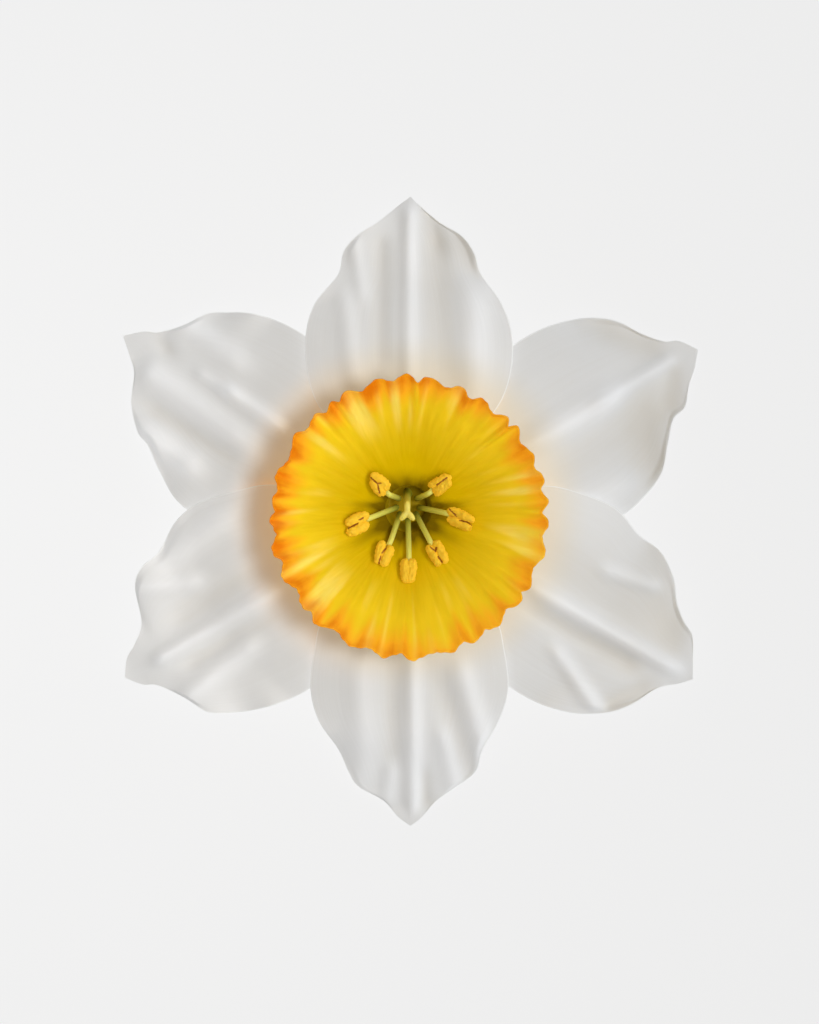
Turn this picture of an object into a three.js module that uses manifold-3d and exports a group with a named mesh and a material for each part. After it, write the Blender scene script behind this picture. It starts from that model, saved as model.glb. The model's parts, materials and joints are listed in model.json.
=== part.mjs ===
// A narcissus flower, picked just below its ovary and lying face up.
// Millimetres, +Z up. The origin is on the surface, under the middle of the flower's spread.
// The tips of three tepals rest on the surface, and carry the tube, corona and stamens.
// The flower's axis leans a little, so the throat lies nearer +Y than the rim does.

import * as THREE from "three";
import { mergeVertices } from "three/addons/utils/BufferGeometryUtils.js";
import Module from "manifold-3d";

const wasm = await Module();
wasm.setup();

// Clearance between neighbouring pieces
const GAP = 0.3;

// Heights along the flower's axis, from the surface upwards
const STALK_Z = 0.4;
const STALK_TOP_Z = 1.8;
const OVARY_Z = STALK_TOP_Z + GAP;
const OVARY_TOP_Z = 8.6;
const TUBE_Z = OVARY_TOP_Z + GAP;
const TUBE_FLOOR_Z = 10.9;
const COLLAR_Z = 18.4;
const COLLAR_TOP_Z = 21.85;
const TUBE_MOUTH_Z = 21.1;
const CORONA_Z = TUBE_MOUTH_Z + GAP;
const RIM_Z = 37.9;

// Where the axis passes the rim, and how far it moves sideways for each millimetre of height
const RIM_CENTRE = new THREE.Vector2(-0.1, -0.85);
const LEAN = new THREE.Vector2(0.013, -0.08);

// Stalk, ovary and tube, as radii
const STALK_R = 1.7;
const OVARY_R = 2.9;
const OVARY_LOBES = 3;
const OVARY_LOBE_DEPTH = 0.06;
const COLLAR_R = 5.5;
const TUBE_LIP_R = 4.3;
const TUBE_MOUTH_R = 3.4;
const TUBE_FLOOR_R = 2.95;

// Tepals: levels stack them where they overlap, so that each clears the one below it
const TEPAL_THICKNESS = 0.85;
const TEPAL_Z = 18.4;
const LEVEL_STEP = 1.45;
const TEPAL_DROP = 19;
const SPREAD_R = 50;
const CLAW_R = COLLAR_R + 0.4;
const CLAW_SIDE = [2.8, 5.1];
const SHOULDER_SIDE = [8.2, 9.6];
const CLAW_BLEND = 0.3;
const CLAW_BOW = 0.15;
const TEPAL_COLUMNS = 12;
const TEPAL_ROWS = 18;

// Where a tepal's folds, margin waves and tip lift set in and end. FOLD and WAVE_END are distances
// along the tepal, FOLD_SIDE is a share of its half width, and the others are distances from the axis.
const FOLD_START = [17, 27];
const FOLD_BEND = [24, 44];
const FOLD_END = [44, 50];
const FOLD_SIDE = [0.7, 0.95];
const TIP_LIFT_START = [33, 48];
const WAVE_START = [33, 38];
const WAVE_END = [42, 47];
const WAVE_HEIGHT = 0.45;
const WAVE_PITCH = 0.62;

// Corona
const CORONA_WALL = 0.85;
const CORONA_SEGMENTS = 124;
const PLEAT_DEPTH = 0.5;
const PLEAT_START = 0.5;
const SCALLOP = 0.15;
const SCALLOP_START = 0.7;
const THROAT_GROOVE = 0.4;
const THROAT_START = [0.14, 0.35];
const THROAT_END = [0.35, 0.8];

// Steps outwards and upwards for each millimetre through the corona's wall and along it
const THROUGH_WALL = [0.7, -0.7];
const ALONG_WALL = [0.75, 0.65];

// Stamens and pistil
const HUB = new THREE.Vector2(-0.4, 1.0);
const RING_R = 1.8;
const FILAMENT_R = 0.45;
const FILAMENT_TOP_Z = 27.7;
const ANTHER_Z = 28.9;
const ANTHER_TILT = 14;
const ANTHER_HALF_DEPTH = 0.75;
const SLIT_WIDTH = 0.45;
const SLIT_DEPTH = 0.45;
const BACK_GROOVE_DEPTH = 0.25;
const STYLE_R = 0.58;
const STIGMA = new THREE.Vector3(-0.5, 0, 26.4);
const STIGMA_LOBES = [90, 229, 311];
const STIGMA_LOBE_SIZE = [0.85, 0.46, 0.42];
const STIGMA_LOBE_OUT = 0.7;
const ROOT_Z = TUBE_FLOOR_Z + 1.2 * GAP;

// The corona's inner face, from its base to its rim: distance from the axis and height
const CORONA_INNER = [
  [TUBE_MOUTH_R, CORONA_Z],
  [4.9, 22.95],
  [7.4, 24.8],
  [10.4, 27.2],
  [13.3, 30.1],
  [15.9, 33.1],
  [18.2, 35.8],
  [20.5, RIM_Z],
];

// Crests of the frill round the rim: angle from +X in degrees, and reach beyond the mean crest
const CRESTS = [
  [7, -0.2],
  [16, -0.2],
  [27.5, -0.15],
  [40, 0.1],
  [45.5, -0.05],
  [58, -0.1],
  [68, -0.05],
  [81.5, 0.3],
  [91.5, 0.75],
  [103, 0.4],
  [118, 0.1],
  [124.5, -0.05],
  [133, -0.1],
  [145, 0.3],
  [163, 0.1],
  [173.5, 0.1],
  [181, -0.05],
  [193, 0.3],
  [206, 0.1],
  [220, -0.05],
  [228, 0.45],
  [245, 0.3],
  [260, 0.4],
  [271, 0.55],
  [288, 0.25],
  [297.5, 0.1],
  [310, 0.1],
  [323, -0.05],
  [330, -0.2],
  [345, -0.2],
  [358, -0.3],
];

// Grooves that run up out of the throat between the stamens, as angles from +X
const GROOVES = [10, 90, 175, 220, 270, 320].map((angle) => [angle, 0]);

// Tepals. left and right are the margins as points [across, along] outside the claw, with along
// measured from the flower's middle. A fold is [across at the waist, across near the tip, rise,
// width]. level is the place in the stack, and tipLift raises the tip or, below zero, lowers it.
const TEPALS = [
  {
    name: "tepal_top",
    angle: 90,
    level: 1,
    tipLift: 3.4,
    left: [
      [-13.6, 15.5],
      [-15.75, 21],
      [-16.1, 27],
      [-14.7, 32],
      [-11.15, 36.5],
      [-10.3, 40],
      [-8.2, 42.5],
      [-5, 44.6],
      [-2, 47],
      [0, 48.5],
    ],
    right: [
      [13.2, 15.5],
      [15.3, 21],
      [15.6, 27],
      [14, 32],
      [10.9, 36.5],
      [9.7, 40],
      [7.8, 42.5],
      [4.4, 44.6],
      [1.5, 47],
      [0, 48.5],
    ],
    folds: [
      [-11, -9, 0.5, 3],
      [-2.2, -1.4, 0.5, 1.7],
      [7, 4.5, 0.8, 3],
      [0.8, 0.2, -0.3, 0.8],
    ],
    wavePhase: 0.4,
  },
  {
    name: "tepal_upper_right",
    angle: 29.7,
    level: 0,
    tipLift: 0,
    left: [
      [-12.6, 15.5],
      [-13.8, 21],
      [-14.5, 27],
      [-14.4, 32],
      [-13.3, 36.5],
      [-11.6, 40],
      [-9.4, 42.5],
      [-6.2, 44.6],
      [-3.5, 47],
      [-2.4, 49],
      [0.2, 50.9],
    ],
    right: [
      [13.5, 15.5],
      [15.6, 21],
      [16.6, 27.5],
      [15.9, 32],
      [14, 36.5],
      [10.6, 39.6],
      [7.7, 42.3],
      [6.9, 44.8],
      [4.3, 47],
      [2.5, 49],
      [0.2, 50.9],
    ],
    folds: [
      [-1.6, -1, 0.55, 1.5],
      [2.4, 2.8, -0.4, 1.5],
      [13, 7, 0.5, 2.4],
      [-9, -6.5, 0.35, 2.6],
    ],
    wavePhase: 2.1,
  },
  {
    name: "tepal_lower_right",
    angle: -30.3,
    level: 1,
    tipLift: 3.5,
    left: [
      [-13.6, 15.8],
      [-15.6, 21],
      [-16.35, 27],
      [-14.7, 32],
      [-14.1, 36.3],
      [-11.7, 40],
      [-8.6, 42.5],
      [-6.7, 44.8],
      [-5.4, 47.1],
      [-2.2, 49],
      [0.3, 50.5],
    ],
    right: [
      [13.2, 15.5],
      [14.8, 21],
      [15.55, 27],
      [15.4, 32],
      [14.2, 36.8],
      [12.5, 40],
      [10.6, 42.5],
      [8, 44.5],
      [4.2, 46.5],
      [1.9, 49],
      [0.3, 50.5],
    ],
    folds: [
      [-9.5, -8, 0.45, 2.6],
      [1.3, 1, 0.6, 1.7],
      [5.4, 4.6, -0.4, 1.6],
      [12, 8.5, 0.5, 2.8],
    ],
    wavePhase: 4.4,
  },
  {
    name: "tepal_bottom",
    angle: -90,
    level: 2,
    tipLift: -3.5,
    left: [
      [-13, 16],
      [-14.35, 21],
      [-15, 27],
      [-13.6, 32],
      [-11.1, 36.5],
      [-10, 40],
      [-6.8, 42.5],
      [-4, 44.5],
      [-1.8, 47],
      [0, 48.4],
    ],
    right: [
      [13.2, 16],
      [14.7, 21],
      [15.35, 27],
      [14.1, 32],
      [11.1, 36.5],
      [9.5, 40],
      [8, 42.3],
      [4.2, 44.5],
      [1.9, 47],
      [0, 48.4],
    ],
    folds: [
      [-5.4, -10.5, 0.5, 1.9],
      [0.5, 0.3, 0.6, 1.7],
      [4, 3.4, -0.4, 1.5],
      [9.6, 6.6, 0.5, 2.6],
    ],
    wavePhase: 5.6,
  },
  {
    name: "tepal_lower_left",
    angle: 210.3,
    level: 1,
    tipLift: 3.5,
    left: [
      [-13.2, 15.5],
      [-14.8, 21],
      [-15.6, 27],
      [-15.2, 32],
      [-14, 36.5],
      [-12.4, 40],
      [-10.7, 42.5],
      [-7, 44.5],
      [-3.4, 47],
      [-2.1, 49],
      [0.2, 50.8],
    ],
    right: [
      [13.9, 16],
      [16.1, 21],
      [17.6, 27.5],
      [16.9, 32],
      [14.2, 36.5],
      [13.5, 40],
      [11.4, 42.4],
      [6.2, 44.3],
      [3.8, 47],
      [2.6, 49],
      [0.2, 50.8],
    ],
    folds: [
      [-6, -5, 0.5, 1.9],
      [0.6, 0.4, 0.6, 1.6],
      [5.2, 4.4, -0.4, 1.9],
      [13.5, 9, 0.5, 2.8],
    ],
    wavePhase: 1.3,
  },
  {
    name: "tepal_upper_left",
    angle: 149.5,
    level: 0,
    tipLift: 0,
    left: [
      [-13.5, 15.5],
      [-15.8, 21],
      [-17, 27.5],
      [-16.7, 32],
      [-14.1, 36.6],
      [-11.7, 40],
      [-10.7, 42.5],
      [-7.4, 45.6],
      [-3.2, 47.6],
      [-1.2, 49.6],
      [0.9, 52],
    ],
    right: [
      [12.8, 15.5],
      [14.4, 21],
      [15.1, 27],
      [15, 32],
      [13.9, 36.6],
      [12.1, 40],
      [10.4, 42.5],
      [6.9, 44.9],
      [4.2, 47.5],
      [3.1, 49.6],
      [0.9, 52],
    ],
    folds: [
      [-12.5, -10, 0.45, 2.4],
      [-3.6, -2.8, 0.5, 1.7],
      [0.6, 0.8, 0.45, 1.3],
      [9, 6.5, 0.35, 3],
    ],
    wavePhase: 3.2,
  },
];

// Stamens. root is the filament's place in the ring round the hub, in degrees from +X. heading is
// the way its anther points, and anther is the anther's middle. spread is how wide it gapes.
const STAMENS = [
  { root: 143, heading: 133, anther: [-4.65, 4.15], length: 4.1, width: 2.1, spread: 0.1 },
  { root: 37, heading: 38, anther: [4.35, 4.1], length: 4.3, width: 2.1, spread: 0.1 },
  { root: 190, heading: 204, anther: [-8.05, -1.75], length: 4.3, width: 3, spread: 0.3 },
  { root: -10, heading: -20, anther: [7.45, -0.95], length: 4.7, width: 2.4, spread: 0.25 },
  { root: -133, heading: -117, anther: [-4, -6.3], length: 4.4, width: 2.2, spread: 0.2 },
  { root: -47, heading: -61, anther: [3.95, -6.2], length: 4.5, width: 2.3, spread: 0.2 },
  { root: -90, heading: -90, anther: [-0.25, -8.75], length: 4.2, width: 2.1, spread: 0.05 },
];

const MATERIALS = {
  stalk: new THREE.MeshStandardMaterial({ color: 0x8fa552, roughness: 0.6, metalness: 0 }),
  tepal: new THREE.MeshStandardMaterial({ color: 0xdcd9d4, roughness: 0.6, metalness: 0 }),
  corona: new THREE.MeshStandardMaterial({ color: 0xe8b317, roughness: 0.55, metalness: 0 }),
  filament: new THREE.MeshStandardMaterial({ color: 0xc5c46a, roughness: 0.5, metalness: 0 }),
  anther: new THREE.MeshStandardMaterial({ color: 0xebb928, roughness: 0.8, metalness: 0 }),
  pistil: new THREE.MeshStandardMaterial({ color: 0xe0cd5a, roughness: 0.5, metalness: 0 }),
};

const radians = THREE.MathUtils.degToRad;
const { smoothstep, lerp } = THREE.MathUtils;

// The flower's axis at a height.
function axisAt(z) {
  return LEAN.clone()
    .multiplyScalar(z - RIM_Z)
    .add(RIM_CENTRE);
}

// A named piece of the flower.
function piece(name, geometry, material) {
  const mesh = new THREE.Mesh(geometry, material);
  mesh.name = name;
  return mesh;
}

// Moves every point of a geometry by a rule that changes the point it is given.
function reshape(geometry, rule) {
  const position = geometry.getAttribute("position");
  const point = new THREE.Vector3();
  for (let i = 0; i < position.count; i += 1) {
    point.fromBufferAttribute(position, i);
    rule(point, i);
    position.setXYZ(i, point.x, point.y, point.z);
  }
  return geometry;
}

// A turned piece along +Z, leaned with the flower's axis.
function turned(profile, segments, rule = () => {}) {
  const points = profile.map(([r, z]) => new THREE.Vector2(r, z));
  const geometry = new THREE.LatheGeometry(points, segments).rotateX(Math.PI / 2);
  return reshape(geometry, (point, i) => {
    rule(point, i);
    const axis = axisAt(point.z);
    point.x += axis.x;
    point.y += axis.y;
  });
}

// A round rod along a curve.
function rod(points, radius, sides, steps) {
  const section = new THREE.Shape();
  for (let i = 0; i < sides; i += 1) {
    const turn = (2 * Math.PI * i) / sides;
    const corner = [radius * Math.cos(turn), radius * Math.sin(turn)];
    if (i === 0) section.moveTo(...corner);
    else section.lineTo(...corner);
  }
  section.closePath();
  const extrudePath = new THREE.CatmullRomCurve3(points);
  return new THREE.ExtrudeGeometry(section, { steps, extrudePath, bevelEnabled: false });
}

// +1 at each angle of a list, and -1 halfway between two. Also the listed height there.
function ripple(list, angle) {
  const turn = THREE.MathUtils.euclideanModulo(angle - list[0][0], 360) + list[0][0];
  let next = list.findIndex((entry) => entry[0] > turn);
  if (next < 0) next = list.length;
  const [from, fromHeight] = list[next - 1];
  const [to, toHeight] = next < list.length ? list[next] : [list[0][0] + 360, list[0][1]];
  const share = (turn - from) / (to - from);
  return {
    wave: Math.cos(2 * Math.PI * share),
    height: lerp(fromHeight, toHeight, smoothstep(share, 0, 1)),
  };
}

// Stalk, ovary and tube

function makeStalk() {
  const profile = [
    [0, STALK_Z],
    [STALK_R, STALK_Z],
    [STALK_R, STALK_TOP_Z],
    [0, STALK_TOP_Z],
  ];
  return piece("pedicel", turned(profile, 16), MATERIALS.stalk);
}

function makeOvary() {
  const height = OVARY_TOP_Z - OVARY_Z;
  const profile = [
    [0, OVARY_Z],
    [0.58 * OVARY_R, OVARY_Z],
    [0.87 * OVARY_R, OVARY_Z + 0.2 * height],
    [OVARY_R, OVARY_Z + 0.5 * height],
    [0.95 * OVARY_R, OVARY_Z + 0.78 * height],
    [0.8 * OVARY_R, OVARY_TOP_Z],
    [0, OVARY_TOP_Z],
  ];
  const lobed = (point) => {
    const swell = 1 + OVARY_LOBE_DEPTH * Math.cos(OVARY_LOBES * Math.atan2(point.y, point.x));
    point.x *= swell;
    point.y *= swell;
  };
  return piece("ovary", turned(profile, 24, lobed), MATERIALS.stalk);
}

function makeTube() {
  const profile = [
    [0, TUBE_Z],
    [3, TUBE_Z],
    [3.75, 12],
    [4.2, 15],
    [5.1, 17.6],
    [COLLAR_R, COLLAR_Z],
    [COLLAR_R, COLLAR_TOP_Z],
    [TUBE_LIP_R, TUBE_MOUTH_Z],
    [TUBE_MOUTH_R, TUBE_MOUTH_Z],
    [3.3, 19],
    [3.1, 15],
    [TUBE_FLOOR_R, TUBE_FLOOR_Z],
    [0, TUBE_FLOOR_Z],
  ];
  return piece("perianth_tube", turned(profile, 28), MATERIALS.stalk);
}

// Tepals

// The margin of a tepal from its claw to its tip. side is -1 on the left and +1 on the right.
function marginOf(tepal, side) {
  const root = [CLAW_SIDE, SHOULDER_SIDE].map(([across, along]) => [side * across, along]);
  const outline = side < 0 ? tepal.left : tepal.right;
  return new THREE.SplineCurve([...root, ...outline].map((p) => new THREE.Vector2(...p)));
}

// The rise of a tepal's folds at a place on it.
function foldHeight(tepal, across, along, side) {
  const towardsTip = smoothstep(along, ...FOLD_BEND);
  const fade = (1 - smoothstep(along, ...FOLD_END)) * (1 - smoothstep(Math.abs(side), ...FOLD_SIDE));
  const strength = smoothstep(along, ...FOLD_START) * fade;
  const rises = tepal.folds.map(([waist, tip, rise, width]) => {
    const off = (across - lerp(waist, tip, towardsTip)) / width;
    return rise * Math.exp(-off * off);
  });
  return strength * rises.reduce((sum, rise) => sum + rise, 0);
}

// The height of a tepal's lower face above the surface, with radius from the flower's axis. The
// blade falls steeply by the claw and levels out towards its tip.
function undersideHeight(tepal, radius, across, along, side) {
  const reach = Math.max(0, radius - CLAW_R) / (SPREAD_R - CLAW_R);
  const fall = TEPAL_DROP * (1.25 * reach ** 1.3 - 0.25 * reach ** 5);
  const tip = tepal.tipLift * smoothstep(radius, ...TIP_LIFT_START);
  const waved = smoothstep(radius, ...WAVE_START) * (1 - smoothstep(along, ...WAVE_END));
  const wave = Math.sin(WAVE_PITCH * along + tepal.wavePhase + side) * Math.abs(side) ** 3;
  const height = TEPAL_Z + LEVEL_STEP * tepal.level - fall + tip + WAVE_HEIGHT * wave * waved;
  return Math.max(0, height + foldHeight(tepal, across, along, side));
}

// A point on a tepal's lower face: side runs from -1 to 1 across it, and t from claw to tip.
function tepalPoint(tepal, margins, side, t) {
  const left = margins[0].getPoint(t);
  const right = margins[1].getPoint(t);
  const bow = (CLAW_R - CLAW_SIDE[1]) * (1 - side * side) * (1 - smoothstep(t, 0, CLAW_BOW));
  const across = lerp(left.x, right.x, (side + 1) / 2);
  const along = lerp(left.y, right.y, (side + 1) / 2) + bow;
  const turn = radians(tepal.angle);
  const centre = axisAt(TEPAL_Z + LEVEL_STEP * tepal.level);
  const pull = 1 - smoothstep(t, 0, CLAW_BLEND);
  const x = across * Math.sin(turn) + along * Math.cos(turn) + pull * centre.x;
  const y = -across * Math.cos(turn) + along * Math.sin(turn) + pull * centre.y;
  const middle = axisAt(TEPAL_Z);
  const radius = Math.hypot(x - middle.x, y - middle.y);
  return new THREE.Vector3(x, y, undersideHeight(tepal, radius, across, along, side));
}

// A closed blade over a grid that ends in one point, cut into triangles alike on both faces.
function blade(columns, rows, pointAt, thickness) {
  const corners = [];
  for (let row = 0; row < rows; row += 1) {
    for (let column = 0; column <= columns; column += 1) {
      corners.push(pointAt((2 * column) / columns - 1, row / rows));
    }
  }
  corners.push(pointAt(0, 1));
  const under = (column, row) => (row === rows ? corners.length - 1 : row * (columns + 1) + column);
  const over = (column, row) => under(column, row) + corners.length;
  const faces = [];
  const triangle = (a, b, c) => {
    if (a !== b && b !== c && c !== a) faces.push(a, b, c);
  };
  const quad = (a, b, c, d) => {
    triangle(a, b, c);
    triangle(a, c, d);
  };
  for (let row = 0; row < rows; row += 1) {
    for (let column = 0; column < columns; column += 1) {
      const next = column + 1;
      quad(over(column, row), over(next, row), over(next, row + 1), over(column, row + 1));
      triangle(under(column, row), under(next, row + 1), under(next, row));
      triangle(under(column, row), under(column, row + 1), under(next, row + 1));
    }
    quad(under(0, row), over(0, row), over(0, row + 1), under(0, row + 1));
    quad(over(columns, row), under(columns, row), under(columns, row + 1), over(columns, row + 1));
  }
  for (let column = 0; column < columns; column += 1) {
    quad(over(column + 1, 0), over(column, 0), under(column, 0), under(column + 1, 0));
  }
  const raised = corners.map((p) => new THREE.Vector3(p.x, p.y, p.z + thickness));
  const geometry = new THREE.BufferGeometry().setFromPoints([...corners, ...raised]);
  geometry.setIndex(faces);
  return geometry;
}

function makeTepal(tepal) {
  const margins = [marginOf(tepal, -1), marginOf(tepal, 1)];
  const pointAt = (side, t) => tepalPoint(tepal, margins, side, t);
  const geometry = blade(TEPAL_COLUMNS, TEPAL_ROWS, pointAt, TEPAL_THICKNESS);
  return piece(tepal.name, geometry, MATERIALS.tepal);
}

// Corona: a turned wall, then pleated towards its rim and grooved towards its throat

function makeCorona() {
  const count = CORONA_INNER.length;
  const outer = CORONA_INNER.map(([r, z], i) => {
    const [beforeR, beforeZ] = CORONA_INNER[Math.max(i - 1, 0)];
    const [afterR, afterZ] = CORONA_INNER[Math.min(i + 1, count - 1)];
    const run = Math.hypot(afterR - beforeR, afterZ - beforeZ);
    const outwards = (CORONA_WALL * (afterZ - beforeZ)) / run;
    const down = (CORONA_WALL * (afterR - beforeR)) / run;
    return i === 0 ? [r + CORONA_WALL, z] : [r + outwards, z - down];
  });
  const profile = [...outer, ...[...CORONA_INNER].reverse(), outer[0]];
  const heightShare = [...profile.keys()].map((j) => {
    if (j >= 2 * count) return 0;
    return (j < count ? j : 2 * count - 1 - j) / (count - 1);
  });
  const pleated = (point, i) => {
    const share = heightShare[i % profile.length];
    const angle = Math.atan2(point.y, point.x);
    const degrees = THREE.MathUtils.radToDeg(angle);
    const frill = ripple(CRESTS, degrees);
    const groove = ripple(GROOVES, degrees).wave;
    const pleat = PLEAT_DEPTH * frill.wave * smoothstep(share, PLEAT_START, 1);
    const nearThroat = smoothstep(share, ...THROAT_START) * (1 - smoothstep(share, ...THROAT_END));
    const through = pleat + THROAT_GROOVE * groove * nearThroat;
    const lengthen = (SCALLOP * frill.wave + frill.height) * smoothstep(share, SCALLOP_START, 1);
    const outwards = THROUGH_WALL[0] * through + ALONG_WALL[0] * lengthen;
    point.x += outwards * Math.cos(angle);
    point.y += outwards * Math.sin(angle);
    point.z += THROUGH_WALL[1] * through + ALONG_WALL[1] * lengthen;
  };
  return piece("corona", turned(profile, CORONA_SEGMENTS, pleated), MATERIALS.corona);
}

// Stamens and pistil

// An anther along +X, with a slit along its upper side and its two lobes parted at the outer end.
function antherShape({ length, width, spread }) {
  const geometry = new THREE.SphereGeometry(1, 12, 8).rotateZ(-Math.PI / 2);
  return reshape(geometry, (point) => {
    const along = point.x;
    const around = Math.hypot(point.y, point.z);
    const sideways = around > 1e-6 ? point.y / around : 0;
    const upwards = around > 1e-6 ? point.z / around : 0;
    const fullness = (1 - Math.abs(along) ** 2.8) ** (1 / 2.4);
    const seam = Math.exp(-((sideways / SLIT_WIDTH) ** 2));
    const cut = upwards > 0 ? SLIT_DEPTH : BACK_GROOVE_DEPTH;
    const gape = 1 + spread * smoothstep(along, -0.6, 1);
    const notch = 1 - (0.1 + 0.5 * spread * (along > 0 ? 1 : 0)) * seam * Math.abs(along) ** 4;
    point.x = 0.5 * length * along * notch;
    point.y = 0.5 * width * fullness * gape * sideways;
    point.z = ANTHER_HALF_DEPTH * fullness * upwards * (1 - cut * seam);
  });
}

function makeAnther(stamen, number) {
  const geometry = antherShape(stamen)
    .rotateY(-radians(ANTHER_TILT))
    .rotateZ(radians(stamen.heading))
    .translate(stamen.anther[0], stamen.anther[1], ANTHER_Z);
  return piece(`anther_${number}`, geometry, MATERIALS.anther);
}

function makeFilament({ root, heading, anther, length }, number) {
  const start = new THREE.Vector2(RING_R, 0).rotateAround(new THREE.Vector2(), radians(root)).add(HUB);
  const back = new THREE.Vector2(-0.5 * length, 0);
  const end = new THREE.Vector2(...anther).add(back.rotateAround(new THREE.Vector2(), radians(heading)));
  const stops = [
    [0, ROOT_Z],
    [0.03, 18],
    [0.14, 21.6],
    [0.45, 24.4],
    [1, FILAMENT_TOP_Z],
  ];
  const path = stops.map(([share, z]) => {
    const place = start.clone().lerp(end, share);
    return new THREE.Vector3(place.x, place.y, z);
  });
  return piece(`filament_${number}`, rod(path, FILAMENT_R, 7, 8), MATERIALS.filament);
}

// The geometry as a solid, and a solid as a geometry again.
function solidOf(geometry) {
  const bare = geometry.clone();
  bare.deleteAttribute("normal");
  bare.deleteAttribute("uv");
  const merged = mergeVertices(bare);
  const vertProperties = new Float32Array(merged.getAttribute("position").array);
  const triVerts = new Uint32Array(merged.index.array);
  return new wasm.Manifold(new wasm.Mesh({ numProp: 3, vertProperties, triVerts }));
}

function geometryOf(solid) {
  const { vertProperties, triVerts } = solid.getMesh();
  const geometry = new THREE.BufferGeometry();
  geometry.setAttribute("position", new THREE.BufferAttribute(vertProperties, 3));
  geometry.setIndex(new THREE.BufferAttribute(triVerts, 1));
  return geometry;
}

function makePistil() {
  const path = [
    new THREE.Vector3(HUB.x, HUB.y + RING_R, ROOT_Z),
    new THREE.Vector3(STIGMA.x, 3.1, 16),
    new THREE.Vector3(STIGMA.x, 2.5, 20.5),
    new THREE.Vector3(STIGMA.x, 1, 24.6),
    new THREE.Vector3(STIGMA.x, 0.1, STIGMA.z),
  ];
  const lobes = STIGMA_LOBES.map((angle) =>
    new THREE.SphereGeometry(1, 10, 6)
      .scale(...STIGMA_LOBE_SIZE)
      .translate(STIGMA_LOBE_OUT, 0, 0)
      .rotateZ(radians(angle))
      .translate(...STIGMA),
  );
  const whole = lobes.reduce((made, lobe) => made.add(solidOf(lobe)), solidOf(rod(path, STYLE_R, 8, 9)));
  return piece("pistil", geometryOf(whole), MATERIALS.pistil);
}

const flower = new THREE.Group();
flower.add(makeStalk(), makeOvary(), makeTube());
flower.add(...TEPALS.map(makeTepal));
flower.add(makeCorona());
STAMENS.forEach((stamen, i) => {
  flower.add(makeFilament(stamen, i + 1), makeAnther(stamen, i + 1));
});
flower.add(makePistil());

export default flower;
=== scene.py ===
import functools
import json
import math

import bmesh
import bpy
from bpy.props import FloatProperty, FloatVectorProperty, PointerProperty
from mathutils import Matrix, Vector, noise

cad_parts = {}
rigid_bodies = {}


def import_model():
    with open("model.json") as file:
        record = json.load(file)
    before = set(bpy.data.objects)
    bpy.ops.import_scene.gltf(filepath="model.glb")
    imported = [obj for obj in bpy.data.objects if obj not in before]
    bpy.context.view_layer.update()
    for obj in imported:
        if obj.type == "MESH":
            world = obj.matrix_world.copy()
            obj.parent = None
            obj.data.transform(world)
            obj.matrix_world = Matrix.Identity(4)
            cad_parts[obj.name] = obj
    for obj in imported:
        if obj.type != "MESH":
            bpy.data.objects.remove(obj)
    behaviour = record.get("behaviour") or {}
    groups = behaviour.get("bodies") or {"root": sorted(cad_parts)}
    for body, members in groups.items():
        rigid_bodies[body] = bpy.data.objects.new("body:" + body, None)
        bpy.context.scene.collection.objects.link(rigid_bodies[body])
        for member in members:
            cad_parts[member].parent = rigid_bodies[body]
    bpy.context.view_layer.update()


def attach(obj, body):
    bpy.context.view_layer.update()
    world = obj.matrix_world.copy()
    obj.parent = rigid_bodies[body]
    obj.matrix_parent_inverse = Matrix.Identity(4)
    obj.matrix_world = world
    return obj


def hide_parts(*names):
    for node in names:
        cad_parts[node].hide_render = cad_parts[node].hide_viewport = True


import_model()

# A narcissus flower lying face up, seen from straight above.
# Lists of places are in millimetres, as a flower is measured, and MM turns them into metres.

bl_info = {
    "name": "Narcissus Flower",
    "version": (1, 0, 0),
    "blender": (4, 5, 0),
    "location": "View3D > Sidebar > Narcissus",
    "description": "Builds a narcissus flower lying face up, with its stage",
    "category": "Add Mesh",
}

MM = 0.001
MERGE_DISTANCE = 0.002
BODY = "root"

# Heights along the flower's axis
STALK_Z = 0.4
STALK_TOP_Z = 1.8
OVARY_Z = 2.1
OVARY_TOP_Z = 8.6
TUBE_Z = 8.9
TUBE_FLOOR_Z = 10.9
COLLAR_Z = 18.4
COLLAR_TOP_Z = 21.85
CORONA_Z = 21.4
RIM_Z = 37.9
CREST_TOP_Z = 38.45

# Where the axis passes the rim, and how far it moves sideways for each millimetre of height
RIM_CENTRE = (-0.1, -0.85)
LEAN = (0.013, -0.08)

STALK_R = 1.7
OVARY_R = 2.9
COLLAR_R = 5.5
TUBE_MOUTH_R = 3.4
TUBE_FLOOR_R = 2.95

TEPAL_Z = 18.4
LEVEL_STEP = 1.45
TEPAL_DROP = 19.0
SPREAD_R = 50.0
CLAW_R = COLLAR_R + 0.4
CLAW_SIDE = (2.8, 5.1)
SHOULDER_SIDE = (8.2, 9.6)
TEPAL_SOLID = 0.85
REST_BLEND = 0.8
# Painted light and shade along each tepal starts this far out and spans this length
PAINTED_LIGHT_FROM = 27
PAINTED_LIGHT_LENGTH = 24
TEPAL_GRID = (96, 130)
# A sheet's columns close up towards its margins, the more the nearer this is to a quarter turn.
COLUMN_EASE = 0.44 * math.pi
# The warm colour at a tepal's base, its own yellowish base with painted bounce light from the cup, is full
# within the first distance and gone beyond the second.
WARM_R = 20
PALE_R = 28

CORONA_GRID = (540, 88)
CORONA_INSET = 0.15
RIM_WALL = 0.2

HUB = (-0.4, 1.0)
RING_R = 1.8
FILAMENT_TOP_Z = 27.7
ANTHER_Z = 28.9
ANTHER_TILT = 14.0
STIGMA = (-0.5, 0.0, 26.4)
STIGMA_ARMS = (90, 229, 311)
# Bumps on an anther: how fine they are, and how far they rise
LOBE_GRAINS = ((1.6, 0.16), (4, 0.14), (8, 0.08))
PLUMPNESS = 1.12

# Picture: its size and the flower's middle column in pixels, and the height its scale is for
PICTURE = (819, 1024)
MIDDLE_COLUMN = 410.5
MEASURED_HEIGHT = 5 * MM

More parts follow.
